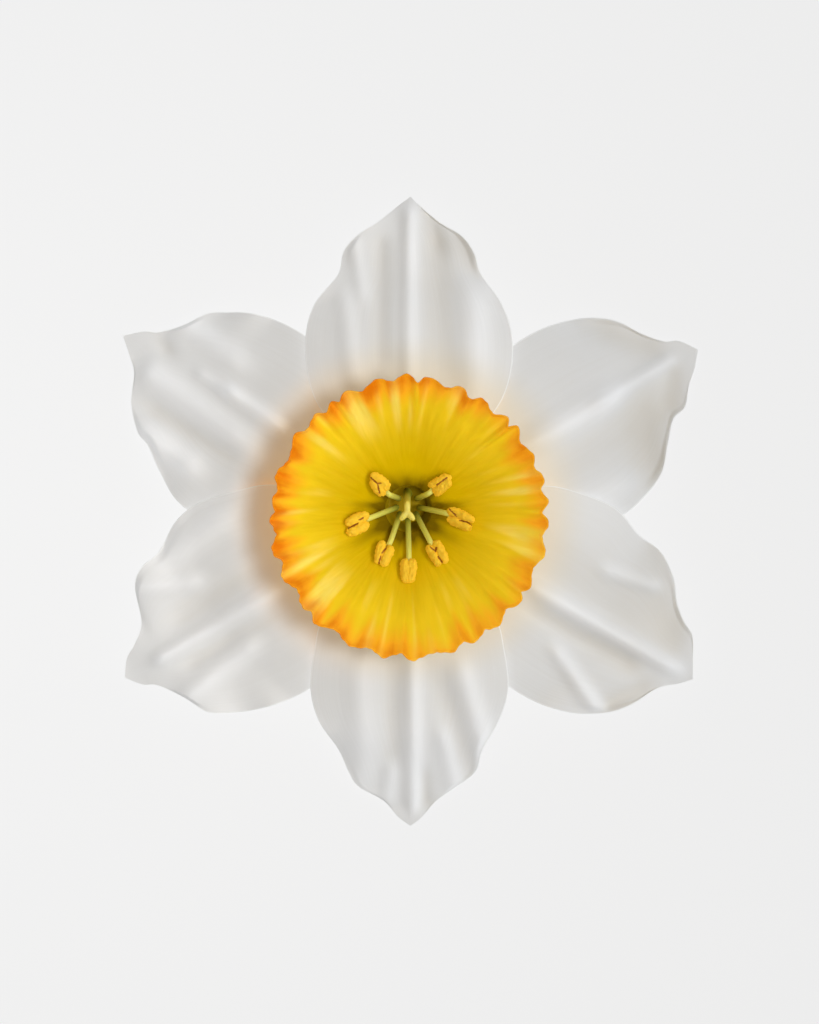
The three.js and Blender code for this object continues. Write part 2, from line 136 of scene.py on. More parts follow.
# Lights: where they stand and point, in metres, and the side lights' colour. Then the floor's look
LIGHT_TARGET = (0, 0, 0.015)
KEY_PLACE = (0.15, 0.0, 1.2)
KEY_TARGET = (-0.075, 0, 0.015)
SIDE_PLACE = (1.3, 0.1, 0.75)
LOW_PLACE = (1.23, 0.1, 0.86)
FILL_PLACE = (0.08, -0.12, 1.2)
COOL = (0.96, 1.0, 1.06)
FLOOR_DARK = (0.34919, 0.34919, 0.34919)
FLOOR_LIGHT = (0.38109, 0.38109, 0.38109)
FLOOR_GLOW = 0.914

# The corona's inner face, from its base to its rim: distance from the axis and height
CORONA_INNER = (
    (TUBE_MOUTH_R, CORONA_Z), (4.9, 22.95), (7.4, 24.8), (10.4, 27.2), (13.3, 30.1),
    (15.9, 33.1), (18.2, 35.8), (20.5, RIM_Z),
)

# Crests of the frill round the rim: angle from +X in degrees, and reach beyond the mean crest
CRESTS = (
    (7, -0.2), (16, -0.2), (27.5, -0.15), (40, 0.1), (45.5, -0.05), (58, -0.1), (68, -0.05), (81.5, 0.3),
    (91.5, 0.75), (103, 0.4), (118, 0.1), (124.5, -0.05), (133, -0.1), (145, 0.3), (163, 0.1),
    (173.5, 0.1), (181, -0.05), (193, 0.3), (206, 0.1), (220, -0.05), (228, 0.45), (245, 0.3),
    (260, 0.4), (271, 0.55), (288, 0.25), (297.5, 0.1), (310, 0.1), (323, -0.05), (330, -0.2),
    (345, -0.2), (358, -0.3),
)

# Grooves that run up out of the throat between the stamens
GROOVES = tuple((angle, 0.0) for angle in (10, 90, 175, 220, 270, 320))

# Tepals: left and right are the margins as (across, along) outside the claw. A stroke is a soft
# ridge, or with a rise below zero a furrow: across and along at both ends, width and rise.
# The rise also sets the painted highlight on the ridges and the painted shade in the furrows.
# The painted light says how much lighter or darker the flesh is painted at even steps along the
# blade, from PAINTED_LIGHT_FROM: painted light and shade that evens out how the light falls.
TEPALS = (
    dict(
        name="top", angle=90, level=1, tip_lift=3.4, wave=0.4, tones=(1, 1, 1, 1),
        left=((-13.6, 15.5), (-15.75, 21), (-16.1, 27), (-14.7, 32), (-11.15, 36.5), (-10.3, 40),
              (-8.2, 42.5), (-5, 44.6), (-2, 47), (0, 48.5)),
        right=((13.2, 15.5), (15.3, 21), (15.6, 27), (14, 32), (10.9, 36.5), (9.7, 40),
               (7.8, 42.5), (4.4, 44.6), (1.5, 47), (0, 48.5)),
        strokes=(
            (-0.3, 21, -0.2, 46, 1.2, 0.65), (4.6, 22, 3.8, 40, 2.6, -0.5), (9.8, 20, 9.8, 33, 2.4, 0.75),
            (10, 36, 8, 41.5, 1.8, -0.45), (4, 41.5, 2.8, 45.5, 1.5, -0.4), (-10, 32, -8.8, 21, 1.6, 0.5),
            (-8.6, 40.5, -7.6, 34, 1.2, 0.4), (-4.6, 24, -4.6, 40, 1.5, -0.4),
        ),
    ),
    dict(
        name="upper_right", angle=29.7, level=0, tip_lift=0, wave=2.1, tones=(0.94, 0.95, 1, 1.1),
        left=((-12.6, 15.5), (-13.8, 21), (-14.5, 27), (-14.4, 32), (-13.3, 36.5), (-11.6, 40),
              (-9.4, 42.5), (-6.2, 44.6), (-3.5, 47), (-2.4, 49), (0.2, 50.9)),
        right=((13.5, 15.5), (15.6, 21), (16.6, 27.5), (15.9, 32), (14, 36.5), (10.6, 39.6),
               (7.7, 42.3), (6.9, 44.8), (4.3, 47), (2.5, 49), (0.2, 50.9)),
        strokes=(
            (-0.1, 23, -0.2, 34, 2.1, 1.3), (-0.3, 34, -0.5, 46, 1.3, 0.7),
            (5.5, 38.5, 11, 35.5, 3.6, -0.85), (2, 45.5, 5, 43, 2, -0.63),
            (-9, 40.5, -4.5, 44, 2.2, -0.63), (5.5, 22, 4.5, 34, 3.5, -0.42), (12, 24, 12.5, 31, 2.4, 0.49),
        ),
    ),
    dict(
        name="lower_right", angle=-30.3, level=1, tip_lift=3.5, wave=4.4, tones=(0.98, 1, 1.1, 1.08),
        left=((-13.6, 15.8), (-15.6, 21), (-16.35, 27), (-14.7, 32), (-14.1, 36.3), (-11.7, 40),
              (-8.6, 42.5), (-6.7, 44.8), (-5.4, 47.1), (-2.2, 49), (0.3, 50.5)),
        right=((13.2, 15.5), (14.8, 21), (15.55, 27), (15.4, 32), (14.2, 36.8), (12.5, 40),
               (10.6, 42.5), (8, 44.5), (4.2, 46.5), (1.9, 49), (0.3, 50.5)),
        strokes=(
            (0.5, 23, 0.4, 49, 1.3, 1.05), (3.6, 24, 3.4, 40, 1.6, -0.63), (-8, 40, -3.6, 44, 2.8, -0.4),
            (-4, 22, -3.4, 40, 4, -0.42), (7.6, 31, 11.6, 39.5, 1.3, 0.84), (6, 44, 9.5, 41.6, 1.6, -0.56),
            (-8.8, 37.5, -7.4, 31, 1.1, 0.56),
        ),
    ),
    dict(
        name="bottom", angle=-90, level=2, tip_lift=-3.5, wave=5.6, tones=(1.01, 1.07, 1.06, 0.9),
        left=((-13, 16), (-14.35, 21), (-15, 27), (-13.6, 32), (-11.1, 36.5), (-10, 40),
              (-6.8, 42.5), (-4, 44.5), (-1.8, 47), (0, 48.4)),
        right=((13.2, 16), (14.7, 21), (15.35, 27), (14.1, 32), (11.1, 36.5), (9.5, 40),
               (8, 42.3), (4.2, 44.5), (1.9, 47), (0, 48.4)),
        strokes=(
            (-0.3, 23, -0.3, 46, 1.3, 0.75), (2.9, 23, 2.8, 37, 1.7, -0.35), (-12, 39, -8, 25, 1.8, 0.7),
            (-9.4, 40, -4.8, 27, 2, -0.4), (-6.6, 42, -5, 35, 1.3, 0.45), (3.6, 43.5, 3.2, 40, 1.2, 0.4),
            (-2.2, 44.5, -2, 41, 1.1, -0.35), (7.4, 38.5, 7.8, 26, 2.2, 0.6),
        ),
    ),
    dict(
        name="lower_left", angle=210.3, level=1, tip_lift=3.5, wave=1.3, tones=(1.05, 1, 0.92, 0.93),
        left=((-13.2, 15.5), (-14.8, 21), (-15.6, 27), (-15.2, 32), (-14, 36.5), (-12.4, 40),
              (-10.7, 42.5), (-7, 44.5), (-3.4, 47), (-2.1, 49), (0.2, 50.8)),
        right=((13.9, 16), (16.1, 21), (17.6, 27.5), (16.9, 32), (14.2, 36.5), (13.5, 40),
               (11.4, 42.4), (6.2, 44.3), (3.8, 47), (2.6, 49), (0.2, 50.8)),
        strokes=(
            (0.2, 25, 0.1, 44, 1.2, 0.85), (-7, 43, -5.4, 33, 1.8, 0.8), (11.2, 42.3, 8, 35, 1.5, 0.6),
            (13.6, 27, 13, 34, 2.2, 0.7), (4.4, 26, 4.2, 38, 2, -0.35), (-3.2, 27, -3, 40, 1.3, -0.3),
        ),
    ),
    dict(
        name="upper_left", angle=149.5, level=0, tip_lift=0, wave=3.2, tones=(1, 1.02, 1.02, 0.85),
        left=((-13.5, 15.5), (-15.8, 21), (-17, 27.5), (-16.7, 32), (-14.1, 36.6), (-11.7, 40),
              (-10.7, 42.5), (-7.4, 45.6), (-3.2, 47.6), (-1.2, 49.6), (0.9, 52)),
        right=((12.8, 15.5), (14.4, 21), (15.1, 27), (15, 32), (13.9, 36.6), (12.1, 40),
               (10.4, 42.5), (6.9, 44.9), (4.2, 47.5), (3.1, 49.6), (0.9, 52)),
        strokes=(
            (1.2, 25, 1.7, 33, 1.2, 0.98), (1.7, 33, 1.8, 38, 1, 0.52), (-2.2, 45, -3.6, 30, 2.2, 0.85),
            (-10.6, 41, -11.2, 34, 2.1, 1.09), (-6.6, 41, -6.4, 29, 1.8, -0.45),
            (7.2, 43.5, 6.6, 36, 2, 0.69), (3.6, 48.5, 2.6, 45.5, 1.4, -0.4),
        ),
    ),
)

# Stamens: the filament's place in the ring, the anther's middle, the way it points and its length.
# A lobe is both ends of its axis, as x and y, and its half width. A slit is both ends of a stroke.
STAMENS = (
    dict(
        root=143, heading=133, anther=(-4.65, 4.15), length=4.1,
        lobes=((-5.45, 5.3, -3.75, 3.95, 0.78), (-5.6, 4.5, -4.45, 3.05, 0.74)),
        slits=((-6.0, 5.2, -5.0, 4.3), (-5.0, 4.3, -4.7, 2.9), (-5.0, 4.3, -4.5, 4.35)),
    ),
    dict(
        root=37, heading=38, anther=(4.35, 4.1), length=4.3,
        lobes=((5.6, 5.25, 3.2, 4.1, 0.64), (5.6, 4.55, 4.05, 3.15, 0.78)),
        slits=((5.5, 5.2, 4.0, 4.1),),
    ),
    dict(
        root=190, heading=204, anther=(-8.05, -1.75), length=4.3,
        lobes=((-6.9, -0.55, -9.3, -1.6, 0.74), (-6.9, -2.0, -9.1, -3.0, 0.76)),
        slits=((-9.4, -2.45, -8.0, -1.75), (-7.8, -1.2, -7.2, -0.9)),
    ),
    dict(
        root=-10, heading=-20, anther=(7.45, -0.95), length=4.7,
        lobes=((6.15, 0.15, 9.1, -1.15, 0.72), (6.05, -1.15, 8.85, -2.3, 0.62)),
        slits=((5.9, 0.4, 7.0, -0.65), (7.5, -1.3, 8.6, -1.5), (8.6, -1.5, 9.3, -2.0)),
    ),
    dict(
        root=-133, heading=-117, anther=(-4, -6.3), length=4.4,
        lobes=((-4.35, -4.9, -4.95, -7.35, 0.64), (-3.15, -5.65, -4.05, -7.75, 0.7)),
        slits=((-3.7, -5.5, -4.3, -6.2), (-4.5, -6.7, -4.8, -7.8)),
    ),
    dict(
        root=-47, heading=-61, anther=(3.95, -6.2), length=4.5,
        lobes=((3.95, -4.85, 5.15, -7.25, 0.72), (2.85, -5.45, 4.2, -7.7, 0.64)),
        slits=((3.0, -5.3, 3.8, -6.0), (3.9, -5.4, 3.8, -6.0), (4.2, -6.8, 4.8, -7.6)),
    ),
    dict(
        root=-90, heading=-90, anther=(-0.25, -8.75), length=4.2,
        lobes=((-0.85, -7.6, -0.75, -10.2, 0.66), (0.3, -7.65, -0.05, -10.2, 0.7)),
        slits=(),
    ),
)

# Painted shade in the throat, dark rays in its grooves between the stamens: angle from +X, reach from
# THROAT_MIDDLE and half width
THROAT_MIDDLE = (-0.5, 0.5)
RAYS = (
    (5, 12, 0.8), (175, 11, 0.8), (90, 6, 1), (62, 6.5, 0.9), (120, 6.5, 0.9), (214, 12.5, 1.3),
    (240, 10, 1), (257, 9, 0.8), (281, 9, 0.8), (300, 10, 0.9), (326, 12, 1.3), (150, 7, 0.8),
    (32, 7, 0.8), (194, 9, 0.7), (346, 9, 0.7),
)


# Small sums

def lerp(a, b, share):
    return a + (b - a) * share


def smoothstep(low, high, value):
    share = min(max((value - low) / (high - low), 0.0), 1.0)
    return share * share * (3 - 2 * share)


def bell(offset, width):
    return math.exp(-((offset / width) ** 2))


def compass(degrees):
    """The level direction at an angle from +X."""
    turn = math.radians(degrees)
    return Vector((math.cos(turn), math.sin(turn)))


def ring_noise(degrees, size, height):
    """Smooth noise on a ring: a larger size is finer, another height another pattern."""
    turn = math.radians(degrees)
    return noise.noise(Vector((size * math.cos(turn), size * math.sin(turn), height)))


@functools.lru_cache(maxsize=None)
def spline(points, share):
    """A point on a smooth curve through all the points."""
    last = len(points) - 1
    place = min(max(share, 0.0), 1.0) * last
    step = min(int(place), last - 1)
    t = place - step
    before = points[max(step - 1, 0)]
    after = points[min(step + 2, last)]
    found = []
    for a, b, c, d in zip(before, points[step], points[step + 1], after):
        slope_in = (c - a) / 2
        slope_out = (d - b) / 2
        cubic = (2 * b - 2 * c + slope_in + slope_out) * t ** 3
        square = (-3 * b + 3 * c - 2 * slope_in - slope_out) * t ** 2
        found.append(cubic + square + slope_in * t + b)
    return tuple(found)


@functools.lru_cache(maxsize=None)
def ripple(crests, degrees):
    """+1 at each listed angle and -1 halfway between two, with the listed height there."""
    turn = (degrees - crests[0][0]) % 360 + crests[0][0]
    ring = crests + ((crests[0][0] + 360, crests[0][1]),)
    for (start, low), (end, high) in zip(ring, ring[1:]):
        if start <= turn < end:
            share = (turn - start) / (end - start)
            return math.cos(2 * math.pi * share), lerp(low, high, smoothstep(0, 1, share))
    return 1.0, crests[0][1]


def axis_at(z):
    """Where the flower's axis passes a height."""
    return RIM_CENTRE[0] + LEAN[0] * (z - RIM_Z), RIM_CENTRE[1] + LEAN[1] * (z - RIM_Z)


# Mesh helpers

def make_sheet(grid, place):
    """A grid whose corners are placed by their share across, from -1 to 1, and along, from 0 to 1."""
    bm = bmesh.new()
    bmesh.ops.create_grid(bm, x_segments=grid[0], y_segments=grid[1], size=1.0)
    across = bm.verts.layers.float.new("across")
    along = bm.verts.layers.float.new("along")
    for vert in bm.verts:
        vert[across] = vert.co.x
        vert[along] = (vert.co.y + 1) / 2
        vert.co = place(vert[across], vert[along])
    bmesh.ops.remove_doubles(bm, verts=bm.verts, dist=MERGE_DISTANCE)
    return bm


def sheet_shares(bm):
    """Gives the function that reads a corner's share across and along its sheet."""
    across = bm.verts.layers.float["across"]
    along = bm.verts.layers.float["along"]
    return lambda vert: (vert[across], vert[along])


def paint(bm, **values):
    """Keeps a value for each corner under each name, which the materials read."""
    for name, value in values.items():
        layer = bm.verts.layers.float.new(name)
        for vert in bm.verts:
            vert[layer] = value(vert)


def thicken(bm, offset):
    """Gives an open sheet a second face, each corner moved by offset(across, along, corner)."""
    bm.normal_update()
    shares = sheet_shares(bm)
    made = bmesh.ops.extrude_face_region(bm, geom=bm.faces[:], use_keep_orig=True)
    raised = [item for item in made["geom"] if isinstance(item, bmesh.types.BMVert)]
    moves = [offset(*shares(vert), vert) for vert in raised]
    for vert, move in zip(raised, moves):
        vert.co += move
    bmesh.ops.recalc_face_normals(bm, faces=bm.faces)


def spin_profile(profile, steps, swell=None):
    """A profile of (radius, height) turned full circle, then leaned with the flower's axis.
    With swell, each corner is widened by swell(turn, height)."""
    bm = bmesh.new()
    corners = [bm.verts.new((r, 0, z)) for r, z in profile]
    edges = [bm.edges.new(pair) for pair in zip(corners, corners[1:])]
    bmesh.ops.spin(
        bm, geom=corners + edges, axis=(0, 0, 1), cent=(0, 0, 0), steps=steps,
        angle=2 * math.pi, use_merge=True,
    )
    bmesh.ops.remove_doubles(bm, verts=bm.verts, dist=MERGE_DISTANCE)
    for vert in bm.verts:
        if swell:
            widening = swell(math.atan2(vert.co.y, vert.co.x), vert.co.z)
            vert.co.x *= widening
            vert.co.y *= widening
        vert.co += Vector((*axis_at(vert.co.z), 0))
    bmesh.ops.recalc_face_normals(bm, faces=bm.faces)
    return bm


def make_rod(path, radius_at, sides, steps):
    """A round rod along a smooth path, with its radius set by its share of the length."""
    bm = bmesh.new()
    places = [Vector(spline(path, i / steps)) for i in range(steps + 1)]
    bmesh.ops.create_circle(bm, cap_ends=True, segments=sides, radius=1.0)
    ring = bm.verts[:]
    loop = bm.edges[:]
    unit = [vert.co.copy() for vert in ring]
    for i, place in enumerate(places):
        ahead = (places[min(i + 1, steps)] - places[max(i - 1, 0)]).normalized()
        turn = ahead.to_track_quat("Z", "Y").to_matrix()
        if i > 0:
            made = bmesh.ops.extrude_edge_only(bm, edges=loop)["geom"]
            ring = [item for item in made if isinstance(item, bmesh.types.BMVert)]
            edges = [item for item in made if isinstance(item, bmesh.types.BMEdge)]
            loop = [edge for edge in edges if edge.verts[0] in ring and edge.verts[1] in ring]
        radius = radius_at(i / steps)
        for vert, corner in zip(ring, unit):
            vert.co = place + turn @ (corner * radius)
    bmesh.ops.holes_fill(bm, edges=bm.edges[:], sides=sides)
    bmesh.ops.recalc_face_normals(bm, faces=bm.faces)
    return bm


def map_sheet(bm):
    """A UV map from each corner's share across and along."""
    shares = sheet_shares(bm)
    uv = bm.loops.layers.uv.new("UVMap")
    for face in bm.faces:
        for loop in face.loops:
            across, along = shares(loop.vert)
            loop[uv].uv = ((across + 1) / 2, along)


def add_object(name, bm, material):
    """Turns a mesh that is being built into an object of the scene."""
    mesh = bpy.data.meshes.new(name)
    bm.to_mesh(mesh)
    bm.free()
    mesh.materials.append(material)
    added = bpy.data.objects.new(name, mesh)
    bpy.context.scene.collection.objects.link(added)
    return added


def finish_piece(name, bm, material, node):
    """Turns a mesh in millimetres into a finished piece that stands for a CAD node."""
    bmesh.ops.scale(bm, vec=(MM, MM, MM), verts=bm.verts)
    piece = add_object(name, bm, material)
    piece.data.shade_smooth()
    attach(piece, BODY)
    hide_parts(node)
    return piece


# Material helpers

def linear(colour):
    """A colour as it looks on screen, turned into the linear values that a shader takes."""
    def channel(value):
        return value / 12.92 if value <= 0.04045 else ((value + 0.055) / 1.055) ** 2.4
    return tuple(channel(value) for value in colour[:3]) + (1.0,)


class Nodes:
    """A material's node tree, with short calls that add and link its nodes."""

    def __init__(self, name):
        self.material = bpy.data.materials.new(name)
        self.material.use_nodes = True
        self.tree = self.material.node_tree
        self.shader = self.tree.nodes["Principled BSDF"]

    def add(self, kind, inputs=None, **settings):
        node = self.tree.nodes.new("ShaderNode" + kind)
        for key, value in settings.items():
            setattr(node, key, value)
        for key, value in (inputs or {}).items():
            self.feed(node.inputs[key], value)
        return node

    def feed(self, socket, value):
        if isinstance(value, bpy.types.NodeSocket):
            self.tree.links.new(value, socket)
        else:
            socket.default_value = linear(value) if socket.type == "RGBA" else value

    def calculate(self, operation, a, b, clamp):
        return self.add("Math", {0: a, 1: b}, operation=operation, use_clamp=clamp).outputs[0]

    def plus(self, a, b, clamp=False):
        return self.calculate("ADD", a, b, clamp)

    def minus(self, a, b, clamp=False):
        return self.calculate("SUBTRACT", a, b, clamp)

    def times(self, a, b, clamp=False):
        return self.calculate("MULTIPLY", a, b, clamp)

    def swing(self, pattern, amount):
        """How far a pattern is from its middle, times an amount."""
        return self.times(self.minus(pattern, 0.5), amount)

    def between(self, value, low, high):
        """The share of the way from low to high, kept within 0 and 1."""
        return self.add("MapRange", {"Value": value, "From Min": low, "From Max": high}).outputs[0]

    def mix(self, share, a, b, blend="MIX"):
        node = self.add("Mix", data_type="RGBA", blend_type=blend, clamp_result=True)
        for index, value in ((0, share), (6, a), (7, b)):
            self.feed(node.inputs[index], value)
        return node.outputs[2]

    def attribute(self, name):
        return self.add("Attribute", attribute_name=name).outputs["Fac"]

    def noise(self, vector, scale, detail=2.0, roughness=0.5):
        inputs = {"Vector": vector, "Scale": scale, "Detail": detail, "Roughness": roughness}
        return self.add("TexNoise", inputs).outputs["Fac"]

    def place(self, kind="Object", scale=(1, 1, 1), location=(0, 0, 0)):
        """Places on the piece, stretched and moved."""
        place = self.add("TexCoord").outputs[kind]
        return self.add("Mapping", {"Vector": place, "Scale": scale, "Location": location}).outputs[0]

    def bump(self, height, strength, distance):
        node = self.add("Bump", {"Height": height, "Strength": strength, "Distance": distance})
        self.feed(self.shader.inputs["Normal"], node.outputs[0])

    def surface(self, **values):
        for key, value in values.items():
            self.feed(self.shader.inputs[key.replace("_", " ")], value)

    def flesh(self, colour, radius, weight=0.25, roughness=0.5, scale=0.0004):
        """The soft, slightly see-through surface of living petals and stalks."""
        self.surface(
            Base_Color=colour, Roughness=roughness, Subsurface_Weight=weight,
            Subsurface_Radius=radius, Subsurface_Scale=scale, IOR=1.4,
        )


def height_colour(nodes, low_colour, high_colour, low, high):
    """A colour that changes from one to the other between two heights."""
    height = nodes.add("SeparateXYZ", {0: nodes.place()}).outputs["Z"]
    return nodes.mix(nodes.between(height, low * MM, high * MM), low_colour, high_colour)


def veined(nodes, streaks, fine):
    """Relief of broad and fine streaks."""
    return nodes.plus(nodes.times(streaks, 0.7), nodes.times(fine, 0.3))


# Colours as they look on screen: where each is seen, and its red, green and blue
COLOURS = {
    "tepal": ("Colour of the tepals", (0.928, 0.926, 0.92)),
    # Painted highlight on a tepal's ridges, and painted shade in its furrows
    "tepal_ridge": ("Colour on a tepal's ridges", (0.985, 0.985, 0.985)),
    "tepal_furrow": ("Colour in a tepal's furrows", (0.885, 0.868, 0.835)),
    # Painted highlight along a tepal's margin
    "tepal_margin": ("Colour of the thin bright margin", (0.995, 0.995, 0.99)),
    # A tepal's own warm base, with painted bounce light from the cup
    "tepal_base": ("Colour of a tepal near the corona", (0.925, 0.885, 0.81)),
    "cup_glow": ("Colour of the light that comes through the cup", (1.0, 0.66, 0.05)),
    "corona": ("Colour of the corona's wall", (0.945, 0.82, 0.115)),
    # The cup's darker olive yellow deep inside: partly its own colour and partly painted shade
    "corona_inside": ("Colour deep inside the cup", (0.795, 0.675, 0.015)),
    # Painted highlight on the wall's ribs
    "corona_rib": ("Pale colour of the wall's ribs", (1.0, 0.90, 0.42)),
    "corona_rim": ("Colour of the frilled rim", (0.985, 0.70, 0.13)),
    "corona_edge": ("Deepest orange at the rim", (0.88, 0.485, 0.035)),
    # The throat's own olive colour, darkened with painted shade
    "throat": ("Colour deep in the throat", (0.47, 0.38, 0.02)),
    "filament": ("Colour of the filaments", (0.87, 0.87, 0.40)),
    "filament_foot": ("Colour low on a filament", (0.62, 0.62, 0.08)),
    "anther": ("Colour of the pollen sacs", (1.0, 0.83, 0.18)),
    "slit": ("Colour inside the anthers' slits", (0.62, 0.33, 0.02)),
    "stigma": ("Colour of the stigma", (0.94, 0.89, 0.43)),
    "tube_inside": ("Colour inside the tube", (0.70, 0.58, 0.04)),
    "tube": ("Colour of the tube", (0.80, 0.80, 0.45)),
    "ovary": ("Colour of the ovary and stalk", (0.50, 0.62, 0.27)),
    "floor": ("Colour of the floor", (0.949, 0.949, 0.949)),
}


# Sizes and colours that a user would change

def length_property(name, description, default):
    return FloatProperty(name=name, description=description, default=default, unit="LENGTH")


def power_property(name, description, default):
    return FloatProperty(name=name, description=description, default=default, unit="POWER")


class NarcissusSizes(bpy.types.PropertyGroup):
    tepal_thickness: length_property(
        "Tepal thickness", "Thickness of a tepal away from its margin", 0.00052)
    tepal_margin: length_property("Tepal margin", "Thickness of a tepal at its margin", 0.00022)
    fold_strength: FloatProperty(
        name="Fold strength", description="How strongly the tepals are folded lengthways",
        default=1.0, subtype="FACTOR")
    pleat_depth: length_property(
        "Pleat depth", "How far the pleats at the corona's rim stand out and in", 0.0005)
    corona_wall: length_property("Corona wall", "Thickness of the corona's wall near its base", 0.0006)
    filament_radius: length_property("Filament radius", "Radius of a filament at its foot", 0.00046)
    style_radius: length_property("Style radius", "Radius of the style near its foot", 0.00066)
    anther_depth: length_property("Anther depth", "Half the depth of an anther", 0.00075)


class NarcissusColours(bpy.types.PropertyGroup):
    __annotations__ = {
        name: FloatVectorProperty(
            name=name.replace("_", " ").capitalize(), description=where, default=colour,
            size=3, min=0, max=1, subtype="COLOR_GAMMA")
        for name, (where, colour) in COLOURS.items()
    }


class NarcissusStage(bpy.types.PropertyGroup):
    camera_height: length_property("Camera height", "Height of the camera above the surface", 1.8)
    pixels_per_mm: FloatProperty(
        name="Pixels per millimetre", description="Scale of the picture at the tepals", default=6.5)
    key_power: power_property("Key light", "Power of the soft light overhead", 46.0)
    side_power: power_property("Side light", "Power of the wide light on the right", 8.0)
    low_power: power_property("Low light", "Power of the light for the right tepals", 6.8)
    fill_power: power_property("Fill light", "Power of the light that fills the cup", 6.6)
    ambient: FloatProperty(
        name="Ambient", description="Strength of the even light all round", default=0.3)


# Tepals

def fold_height(tepal, across, along, side):
    """The rise of a tepal's ridges and furrows, which fade towards its margins and tip."""
    rise = 0.0
    for u0, v0, u1, v1, width, height in tepal["strokes"]:
        length = math.hypot(u1 - u0, v1 - v0)
        ahead = ((across - u0) * (u1 - u0) + (along - v0) * (v1 - v0)) / length
        beside = ((across - u0) * (v1 - v0) - (along - v0) * (u1 - u0)) / length
        past = max(-ahead, ahead - length, 0.0)
        rise += height * bell(beside, width) * bell(past, 1.6 * width)
    return rise * (1 - smoothstep(0.88, 1.0, abs(side))) * (1 - smoothstep(45, 50, along))


def on_tepal(tepal, place):
    """A place on the flower as it lies on a tepal: across and along."""
    turn = math.radians(tepal["angle"])
    across = place.x * math.sin(turn) - place.y * math.cos(turn)
    along = place.x * math.cos(turn) + place.y * math.sin(turn)
    return across, along


def painted_light_along(tepal, along):
    """How much lighter or darker a tepal's colour is painted at a distance along it: painted light and
    shade.
    """
    points = tuple((tone,) for tone in tepal["tones"])
    return spline(points, (along - PAINTED_LIGHT_FROM) / PAINTED_LIGHT_LENGTH)[0]


def underside_height(tepal, radius, across, along, side):
    """The height of a tepal's lower face, which never dips below the surface it lies on."""
    reach = max(0.0, radius - CLAW_R) / (SPREAD_R - CLAW_R)
    fall = TEPAL_DROP * (1.25 * reach ** 1.3 - 0.25 * reach ** 5)
    tip = tepal["tip_lift"] * smoothstep(33, 48, radius)
    wave = math.sin(0.62 * along + tepal["wave"] + side) * abs(side) ** 3
    margin = 0.45 * wave * smoothstep(33, 38, radius) * (1 - smoothstep(42, 47, along))
    fold = bpy.context.scene.narcissus_sizes.fold_strength * fold_height(tepal, across, along, side)
    height = TEPAL_Z + LEVEL_STEP * tepal["level"] - fall + tip + margin + fold
    return 0.5 * (height + math.hypot(height, REST_BLEND))


def tepal_place(tepal, margins, side, share):
    """A point on a tepal's lower face, in millimetres."""
    left = spline(margins[0], share)
    right = spline(margins[1], share)
    bow = (CLAW_R - CLAW_SIDE[1]) * (1 - side * side) * (1 - smoothstep(0, 0.15, share))
    across = lerp(left[0], right[0], (side + 1) / 2)
    along = lerp(left[1], right[1], (side + 1) / 2) + bow
    turn = math.radians(tepal["angle"])
    centre = axis_at(TEPAL_Z + LEVEL_STEP * tepal["level"])
    pull = 1 - smoothstep(0, 0.3, share)
    x = across * math.sin(turn) + along * math.cos(turn) + pull * centre[0]
    y = -across * math.cos(turn) + along * math.sin(turn) + pull * centre[1]
    middle = axis_at(TEPAL_Z)
    radius = math.hypot(x - middle[0], y - middle[1])
    return Vector((x, y, underside_height(tepal, radius, across, along, side)))


def thinning(side, share):
    """How far a tepal has thinned: 0 on its blade and 1 at its margin and tip."""
    return max(smoothstep(0.86, 1.0, abs(side)), smoothstep(0.975, 1.0, share))


def painted_margin_highlight(side, share):
    """The painted highlight along a tepal's margin, a thin bright line, from 0 to 1."""
    line = smoothstep(0.955, 0.995, abs(side)) * smoothstep(0.05, 0.2, share)
    return max(line, smoothstep(0.985, 1, share))


def cup_glow(place):
    """How much light comes through the cup's wall onto a tepal beside it: most on the left."""
    radius = math.hypot(place.x - RIM_CENTRE[0], place.y - RIM_CENTRE[1])
    left = max(0.0, (RIM_CENTRE[0] - place.x) / radius)
    near = 1 - smoothstep(20.5, 25, radius)
    return 0.03 * near + 0.18 * left ** 1.5 * (1 - smoothstep(22.5, 29, radius))


def tepal_material(colours):
    nodes = Nodes("Tepal")
    streaks = nodes.noise(nodes.place("UV", (60, 1.4, 1)), 1.0, detail=3, roughness=0.55)
    fine = nodes.noise(nodes.place("UV", (170, 3, 1)), 1.0)
    mottle = nodes.noise(nodes.place(), 120.0, detail=3)
    uneven = nodes.plus(nodes.times(streaks, 0.35), nodes.times(mottle, 0.25))
    # The folds' height paints the blade: a painted highlight on the ridges and painted shade in the
    # furrows, with uneven streaks and mottle
    level = nodes.plus(nodes.attribute("fold"), nodes.minus(uneven, 0.3))
    blade = nodes.mix(nodes.times(level, -1.0, clamp=True), colours.tepal, colours.tepal_furrow)
    blade = nodes.mix(nodes.times(level, 1.0, clamp=True), blade, colours.tepal_ridge)
    # Painted light and shade along the blade, from each tepal's tones steps
    blade = nodes.mix(1.0, blade, nodes.attribute("tone"), blend="MULTIPLY")
    # The tepal's own warm base, with painted bounce light from the cup near it
    blade = nodes.mix(nodes.attribute("warm"), blade, colours.tepal_base)
    # Painted highlight along the margin
    blade = nodes.mix(nodes.attribute("margin"), blade, colours.tepal_margin)
    nodes.flesh(blade, (1.0, 1.0, 1.0), weight=0.2)
    nodes.surface(Emission_Color=colours.cup_glow, Emission_Strength=nodes.attribute("glow"))
    nodes.bump(veined(nodes, streaks, fine), 0.12, 0.0002)
    return nodes.material


